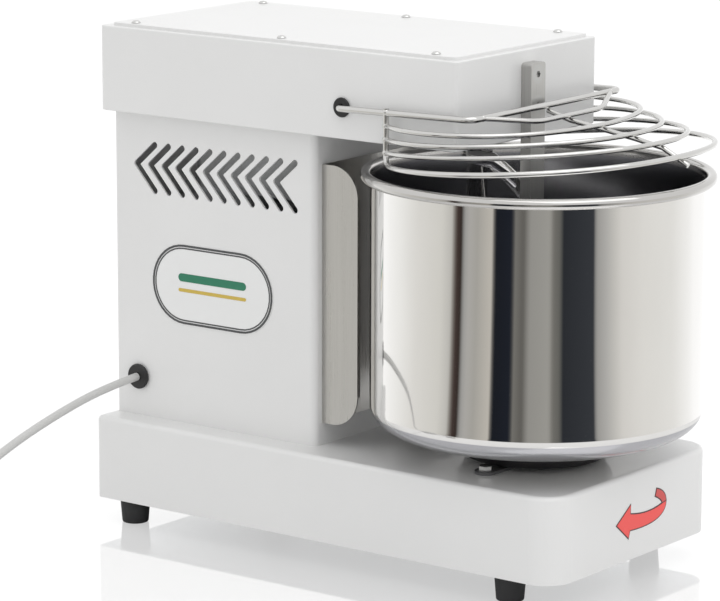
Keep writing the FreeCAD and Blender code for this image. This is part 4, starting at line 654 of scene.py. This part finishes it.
def cradle_line():
    """Lowest hoop carried on into both uprights through a parabolic bend."""
    hoop = hoop_line(*hoop_shapes[-1])
    top = np.array([0, 0, z_bar + 2.0 - hoop[0, 2]])
    bend = 9.0
    reach = np.r_[0, np.cumsum(np.linalg.norm(np.diff(hoop, axis=0), axis=1))]
    kept = hoop[(reach > bend) & (reach < reach[-1] - bend)]
    share = np.linspace(0, 1, 10)[:, None]
    ends = []
    for corner, onward in ((hoop[0], kept[0]), (hoop[-1], kept[-1])):
        rise = corner + np.array([0, 0, bend])
        curve = (1 - share) ** 2 * rise + 2 * share * (1 - share) * corner + share ** 2 * onward
        ends.append(np.vstack([corner + top, curve[:-1]]))
    return densely(np.vstack([ends[0], kept, ends[1][::-1]]), point_pitch)


loop_half, loop_front_half, loop_reach, loop_drop, loop_bend = 92.0, 46.0, 22.5, 6.0, 45.0


def loop_line():
    """Shallow bow in front of the front bar: two slanting ends and a straight middle, with wide
    bends."""
    y_front, z_front = y_bar - loop_reach, z_bar - loop_drop
    return densely(bent([(-loop_half, y_bar, z_bar), (-loop_front_half, y_front, z_front),
                         (loop_front_half, y_front, z_front), (loop_half, y_bar, z_bar)],
                        [loop_bend, loop_bend], 14), point_pitch)


def rib_line():
    """Rib under the front of the hoops, from the front bar to a little past the lowest hoop."""
    sink, overhang, bend = 4.5, 6.0, 12.0
    fronts = [(y_bar, z_bar), (y_bar - loop_reach, z_bar - loop_drop)]
    fronts += [(y_upright - hoop[2], z_rim_top + hoop[4]) for hoop in hoop_shapes]
    line = [np.array([0, y, z - sink]) for y, z in fronts]
    end = line[-1] - line[-2]
    line[-1] = line[-1] + end / np.linalg.norm(end) * overhang
    return densely(bent(line, [bend] * (len(line) - 2)), point_pitch)


def outward(line):
    """Direction at each point away from the middle of the guard."""
    return line - np.array([0.0, y_upright - 40.0, pivot[2] - 22.0])


def guard_grids():
    """All wires of the guard as tubes, with a small bead at each weld."""
    top, cradle, loop, rib = frame_line(), cradle_line(), loop_line(), rib_line()
    grids = [tube(top, frame_wire, outward(top)), tube(cradle, cradle_wire, outward(cradle)),
             tube(loop, loop_wire, outward(loop)),
             tube(rib, hoop_wire, np.array([1.0, 0.0, 0.0]))]
    for hoop in hoop_shapes[:-1]:
        line = densely(hoop_line(*hoop), point_pitch)
        grids.append(tube(line, hoop_wire, outward(line)))
    bead = bow((0, 0), bead_radius, -90, 90, 9) * (1, 0.9)
    bead[0, 0] = bead[-1, 0] = 0.2
    spots = [(side * guard_half, y_upright, z_rim_top + hoop[3])
             for side in (-1, 1) for hoop in hoop_shapes[:-1]]
    spots += [(side * guard_half, y_upright, z_bar - 0.8) for side in (-1, 1)]
    spots += [(side * loop_half, y_bar, z_bar) for side in (-1, 1)]
    grids += [turned(bead, spot, segments=14) for spot in spots]
    return grids


surface("guard_wires", "guard", looks["guard_wire"], guard_grids(),
        ("wire_guard",), 50.0)


# ---------------------------------------------------------------- rubber feet, grommets, screws
def foot_section():
    """Half section of a foot: hollow for the screw, rounded sole and slightly flared sides."""
    return np.vstack([
        [[3.0, 10.0], [6.5, 10.0]], bow((7.7, 1.2), 1.2, 180, 270, 5),
        bow((10.0, 1.5), 1.5, -90, -5, 6), [[12.7, 16.0]], bow((12.0, 21.0), 1.0, 0, 90, 5),
        [[3.0, 22.0], [3.0, 10.0]],
    ])


foot_low, foot_high, _ = place_of("rubber_feet")
foot_reach = 13.0
foot_spots = [(x, y, 0) for x in (foot_low[0] + foot_reach, foot_high[0] - foot_reach)
              for y in (foot_low[1] + foot_reach, foot_high[1] - foot_reach)]
surface("soft_feet", "root", looks["black_rubber"],
        [turned(foot_section(), spot) for spot in foot_spots], ("rubber_feet",))


def grommet_section(bore, inside, collar, outside):
    """Half section of a wall grommet, height measured outwards from the wall's outer face: a
    rounded collar outside, a neck through the wall and a nut inside."""
    proud = outside / 2
    return np.vstack([
        [[bore, -inside]], [[8.0, -inside], [8.0, -6.0], [collar - 0.5, -6.0], [collar - 0.5, -2.0],
                            [8.0, -2.0], [8.0, 0.0]],
        bow((collar - proud, proud), proud, -60, 60, 9),
        [[collar - 3.4, outside - 0.7], [bore + 1.6, outside], [bore, outside - 0.4],
         [bore, -inside]],
    ])


lead_grommet = turned(grommet_section(3.5, 17.5, 11.0, 4.5) * (1, -1),
                      (column_low[0], gland[1], gland[2]), 0, 64)
surface("lead_grommet", "root", looks["black_plastic"], [lead_grommet],
        ("cord_gland",))


def pivot_grommets():
    """The same grommet, smaller, in both sides of the head."""
    section = np.vstack([
        [[3.05, -5.0], [8.2, -5.0], [8.2, -2.0], [5.5, -2.0], [5.5, 0.0]],
        bow((6.9, 1.2), 1.3, -60, 60, 9), [[4.6, 2.4], [3.05, 2.1], [3.05, -5.0]],
    ])
    return [turned(section * (1, side), (side * head_high[0], pivot[1], pivot[2]), 0, 56)
            for side in (-1, 1)]


surface("pivot_grommets", "root", looks["black_plastic"], pivot_grommets(),
        ("guard_bushings",))


def pan_section(length):
    """Half section of a domed screw: shank, flat seat, rolled edge, dome and a shallow recess."""
    return np.vstack([
        [[0.3, -length], [1.9, -length], [1.9, 0.0], [3.6, 0.0]],
        bow((3.5, 0.45), 0.45, -90, 20, 5),
        [[3.2, 1.4], [2.4, 1.95], [1.3, 2.15], [1.0, 1.3], [0.3, 1.2]],
    ])


def casing_screw_grids():
    """Every domed screw of the casing: six down into the lid, six in the back cover and four in
    the splash plate."""
    shank, lid_shank, sides = 6.0, 4.4, 28
    side_inset, front_inset, lid_step = 13.5, 30.0, 1.0
    grids = [turned(pan_section(lid_shank), (x, y, lid_high[2]), segments=sides)
             for x in (head_low[0] + side_inset, head_high[0] - side_inset)
             for y in (head_low[1] + front_inset, (head_low[1] + lid_step + head_high[1]) / 2,
                       head_high[1] - (front_inset - lid_step))]
    cover_inset = 6.0
    cover_low, cover_high, cover = place_of("column_back_cover")
    grids += [turned(pan_section(shank), (x, cover_high[1], z), 1, sides)
              for x in (cover_low[0] + cover_inset, cover_high[0] - cover_inset)
              for z in (cover_low[2] + cover_inset, cover[2], cover_high[2] - cover_inset)]
    splash_half, splash_inset, splash_wall = 50.0, 30.0, 1.2
    splash_low, splash_high, _ = place_of("splash_plate")
    grids += [turned(pan_section(shank) * (1, -1), (x, splash_high[1] - splash_wall, z), 1, sides)
              for x in (-splash_half, splash_half)
              for z in (splash_low[2] + splash_inset, splash_high[2] - splash_inset)]
    return grids


surface("domed_screws", "root", looks["steel_screw"], casing_screw_grids(),
        ("casing_screws",))


# ---------------------------------------------------------------- badge and arrow
def racetrack(width, height, steps=20):
    """Closed outline of a plate with fully rounded ends, round its middle."""
    radius, run = height / 2, (width - height) / 2
    turn = np.linspace(-math.pi / 2, math.pi / 2, steps)
    right_end = np.stack([run + radius * np.cos(turn), radius * np.sin(turn)], -1)
    return np.vstack([right_end, -right_end])


badge_y, badge_z = 154.6, 216.0
bar_length = 74.0


def on_column(outline, proud, lift=0.0):
    """An outline (y, z) round the badge's middle, proud of the left side of the column."""
    return np.stack([np.full(len(outline), column_low[0] - proud), badge_y + outline[:, 0],
                     badge_z + lift + outline[:, 1]], -1)


def side_plate(outline, proud_from, proud_to, lift=0.0):
    """Flat plate on the column over an outline."""
    return np.stack([on_column(outline, proud, lift) for proud in (proud_from, proud_to)])


def side_band(outer, inner, proud_from, proud_to):
    """Raised band on the column between two outlines of as many points."""
    return np.stack([on_column(outer, proud_from), on_column(outer, proud_to),
                     on_column(inner, proud_to), on_column(inner, proud_from),
                     on_column(outer, proud_from)])


badge_face = powder_coat("badge_enamel", (0.84, 0.845, 0.84))
badge_rim = moulded("badge_rim", (0.07, 0.072, 0.075), 0.35)
badge_green = moulded("badge_green", (0.02, 0.20, 0.11), 0.35)
badge_straw = moulded("badge_straw", (0.62, 0.45, 0.08), 0.35)
surface("badge_plate", "root", badge_face,
        [side_plate(racetrack(132.0, 70.0), 0.05, 0.6)])
surface("badge_border", "root", badge_rim,
        [side_band(racetrack(131.0, 69.0), racetrack(127.4, 65.4), 0.5, 0.95),
         side_band(racetrack(125.8, 63.8), racetrack(123.4, 61.4), 0.5, 0.8)])
surface("badge_green_bar", "root", badge_green,
        [side_plate(racetrack(bar_length, 7.0), 0.5, 0.8, 6.0)])
surface("badge_straw_bar", "root", badge_straw,
        [side_plate(racetrack(bar_length, 3.0), 0.5, 0.8, -5.0)])


def sweep_between(start, pull, end, steps=12):
    """Curved stretch of an outline: a parabola from start to end, bent towards the pull point."""
    share = np.linspace(0, 1, steps)[:, None]
    start, pull, end = (np.array(point) for point in (start, pull, end))
    return (1 - share) ** 2 * start + 2 * share * (1 - share) * pull + share ** 2 * end


def grown(outline, margin):
    """The outline moved outwards by the margin, or inwards where it is negative: each corner goes
    along the mean of its two sides' normals."""
    onward = np.roll(outline, -1, 0) - outline
    onward /= np.linalg.norm(onward, axis=1, keepdims=True)
    normal = np.stack([onward[:, 1], -onward[:, 0]], -1)
    x, y = outline.T
    area = np.sum(x * np.roll(y, -1) - y * np.roll(x, -1))
    mean = normal + np.roll(normal, 1, 0)
    stretch = np.minimum(2 / np.sum(mean ** 2, 1, keepdims=True), 1.6)
    return outline + math.copysign(margin, margin * area) * mean * stretch


# The turning arrow on the base, as (x, z): a broad ribbon with a pointed head that runs down to
# the left, and its far end folded back over the right.
fold_inner, fold_outer = (47.9, 60.3), (54.2, 61.3)
arrow_front = np.vstack([
    [(-20.5, 54.9), (0.4, 68.8)], sweep_between((0.1, 61.0), (26.0, 55.0), fold_inner),
    sweep_between(fold_outer, (54.0, 43.0), (-0.2, 46.8)), [(-2.4, 40.5)],
])
arrow_fold = np.vstack([
    sweep_between(fold_inner, (46.6, 64.0), (37.1, 68.0), 8),
    sweep_between((39.2, 74.5), (53.3, 70.7), fold_outer, 10),
])


def front_sign(outline, proud_from, proud_to):
    """Flat sign on the front of the base over an outline (x, z)."""
    return np.stack([np.stack([outline[:, 0], np.full(len(outline), base_low[1] - proud),
                               outline[:, 1]], -1) for proud in (proud_from, proud_to)])


arrow_red = moulded("sign_red", (0.93, 0.095, 0.085), 0.35)
arrow_dark_red = moulded("sign_dark_red", (0.66, 0.085, 0.08), 0.35)
arrow_black = moulded("sign_edge", (0.055, 0.035, 0.04), 0.4)
edge_out, edge_in = 0.55, -0.45
surface("turn_arrow_edge", "root", arrow_black,
        [front_sign(grown(arrow_front, edge_out), 0.05, 0.25),
         front_sign(grown(arrow_fold, edge_out), 0.05, 0.2)])
surface("turn_arrow", "root", arrow_red,
        [front_sign(grown(arrow_front, edge_in), 0.2, 0.45)])
surface("turn_arrow_fold", "root", arrow_dark_red,
        [front_sign(grown(arrow_fold, edge_in), 0.15, 0.4)])


# ---------------------------------------------------------------- table, surroundings and light
table_half, table_drop = 14.0, 0.0002
mirror_share = 0.38
sheet_tone, sheet_glow = 0.28, 0.82
bands_from, bands_full = 0.50, 0.56
ambient = 0.87

# Painted reflections: glowing bands on the table that only glossy rays see, which the polished bowl
# mirrors, by the direction from its axis: degrees, then the colour.
facing = math.atan2(camera_place.y - y_bowl * MM, camera_place.x)
bands = [
    (51.5, 1.20, 1.20, 1.20), (78.5, 0.99, 0.99, 0.97), (94.4, 0.84, 0.83, 0.80),
    (114.7, 0.75, 0.74, 0.70), (122.2, 0.60, 0.59, 0.56), (124.4, 0.22, 0.20, 0.18),
    (126.0, 0.07, 0.05, 0.045), (129.8, 0.035, 0.026, 0.022), (131.4, 0.38, 0.38, 0.37),
    (135.2, 0.48, 0.47, 0.45), (140.6, 0.44, 0.43, 0.40), (151.0, 0.60, 0.57, 0.52),
    (152.1, 0.013, 0.015, 0.02), (164.2, 0.016, 0.019, 0.028), (165.5, 0.21, 0.205, 0.19),
    (171.2, 0.135, 0.13, 0.12), (175.4, 0.345, 0.34, 0.32), (187.9, 0.39, 0.385, 0.36),
    (190.4, 0.20, 0.195, 0.18), (194.8, 0.145, 0.145, 0.135), (196.4, 0.029, 0.032, 0.038),
    (216.6, 0.044, 0.048, 0.056), (218.6, 0.39, 0.385, 0.37), (224.8, 0.50, 0.495, 0.48),
    (231.3, 0.65, 0.64, 0.61), (236.7, 0.775, 0.76, 0.73), (252.9, 0.86, 0.85, 0.82),
    (279.4, 0.91, 0.905, 0.88), (299.2, 1.06, 1.06, 1.05), (308.5, 1.15, 1.15, 1.15),
]


def table_look():
    """White gloss table: a clear mirror layer over a sheet that is white to the eye. Only in the
    mirror of polished metal it glows with light and dark bands, painted reflections, by direction
    from the bowl's axis, so that they stand upright on the bowl's wall; they begin a little away
    from the machine."""
    look = Look("white_table", Roughness=0.5, Specular_IOR_Level=0.0, Emission_Strength=1.0)
    eye, mirrored = (look.node("ShaderNodeLightPath", output=ray)
                     for ray in ("Is Camera Ray", "Is Glossy Ray"))
    x, y, _, away = look.round_bowl()
    turn = y.math("ARCTAN2", x) - facing + math.pi
    share = (turn / (2 * math.pi) + 2.0).math("FRACT")
    stops = [(angle / 360.0, colour) for angle, *colour in bands]
    band = look.node("ShaderNodeValToRGB", {"stops": stops}, {0: share})
    shown = mirrored * away.clip(bands_from, bands_full)
    black = (0.0, 0.0, 0.0)
    sheet = look.mix(look.noise(look.place(), 1.5, 2.0), (0.85, 0.85, 0.85), (0.87, 0.87, 0.87))
    look.feed("Base Color", look.mix(shown, look.mix(eye, sheet, (sheet_tone,) * 3), black))
    # Painted reflections: the table glows with the bands for glossy rays only.
    look.feed("Emission Color", look.mix(shown, look.mix(eye, black, (sheet_glow,) * 3), band))
    gloss = look.node("ShaderNodeBsdfAnisotropic", None,
                      {"Color": (1.0, 1.0, 1.0, 1.0), "Roughness": 0.04})
    top = look.node("ShaderNodeMixShader", None, {0: mirror_share * (1.0 - shown)})
    look.tree.links.new(look.shader.outputs[0], top.socket.node.inputs[1])
    look.tree.links.new(gloss.socket, top.socket.node.inputs[2])
    look.tree.links.new(top.socket, look.tree.nodes["Material Output"].inputs["Surface"])
    return look.material


corners = [(x * table_half, y * table_half, -table_drop)
           for x, y in ((-1, -1), (1, -1), (1, 1), (-1, 1))]
table_mesh = bpy.data.meshes.new("table")
table_mesh.from_pydata(corners, [], [(0, 1, 2, 3)])
table_mesh.materials.append(table_look())
table = bpy.data.objects.new("table", table_mesh)
scene.collection.objects.link(table)

world = bpy.data.worlds.new("studio")
scene.world = world
world.use_nodes = True
room = Look("studio", world.node_tree)
eye, glossy, through = (room.node("ShaderNodeLightPath", output=ray)
                        for ray in ("Is Camera Ray", "Is Glossy Ray", "Is Transmission Ray"))
seen = eye.math("MAXIMUM", glossy).math("MAXIMUM", through)
background = world.node_tree.nodes["Background"]
background.inputs["Color"].default_value = (1.0, 1.0, 1.0, 1.0)
world.node_tree.links.new((ambient + (1.0 - ambient) * seen).socket, background.inputs["Strength"])

lamp = bpy.data.lights.new("overhead", "AREA")
lamp.shape, lamp.size, lamp.size_y, lamp.energy = "RECTANGLE", 2.4, 2.4, 17.0
lamp_place, lamp_target = Vector((-0.2, -1.0, 2.5)), Vector((0.0, 0.0, 0.2))
overhead = bpy.data.objects.new("overhead", lamp)
overhead.matrix_world = (Matrix.Translation(lamp_place) @ (lamp_target - lamp_place)
                         .to_track_quat("-Z", "Y").to_matrix().to_4x4())
scene.collection.objects.link(overhead)
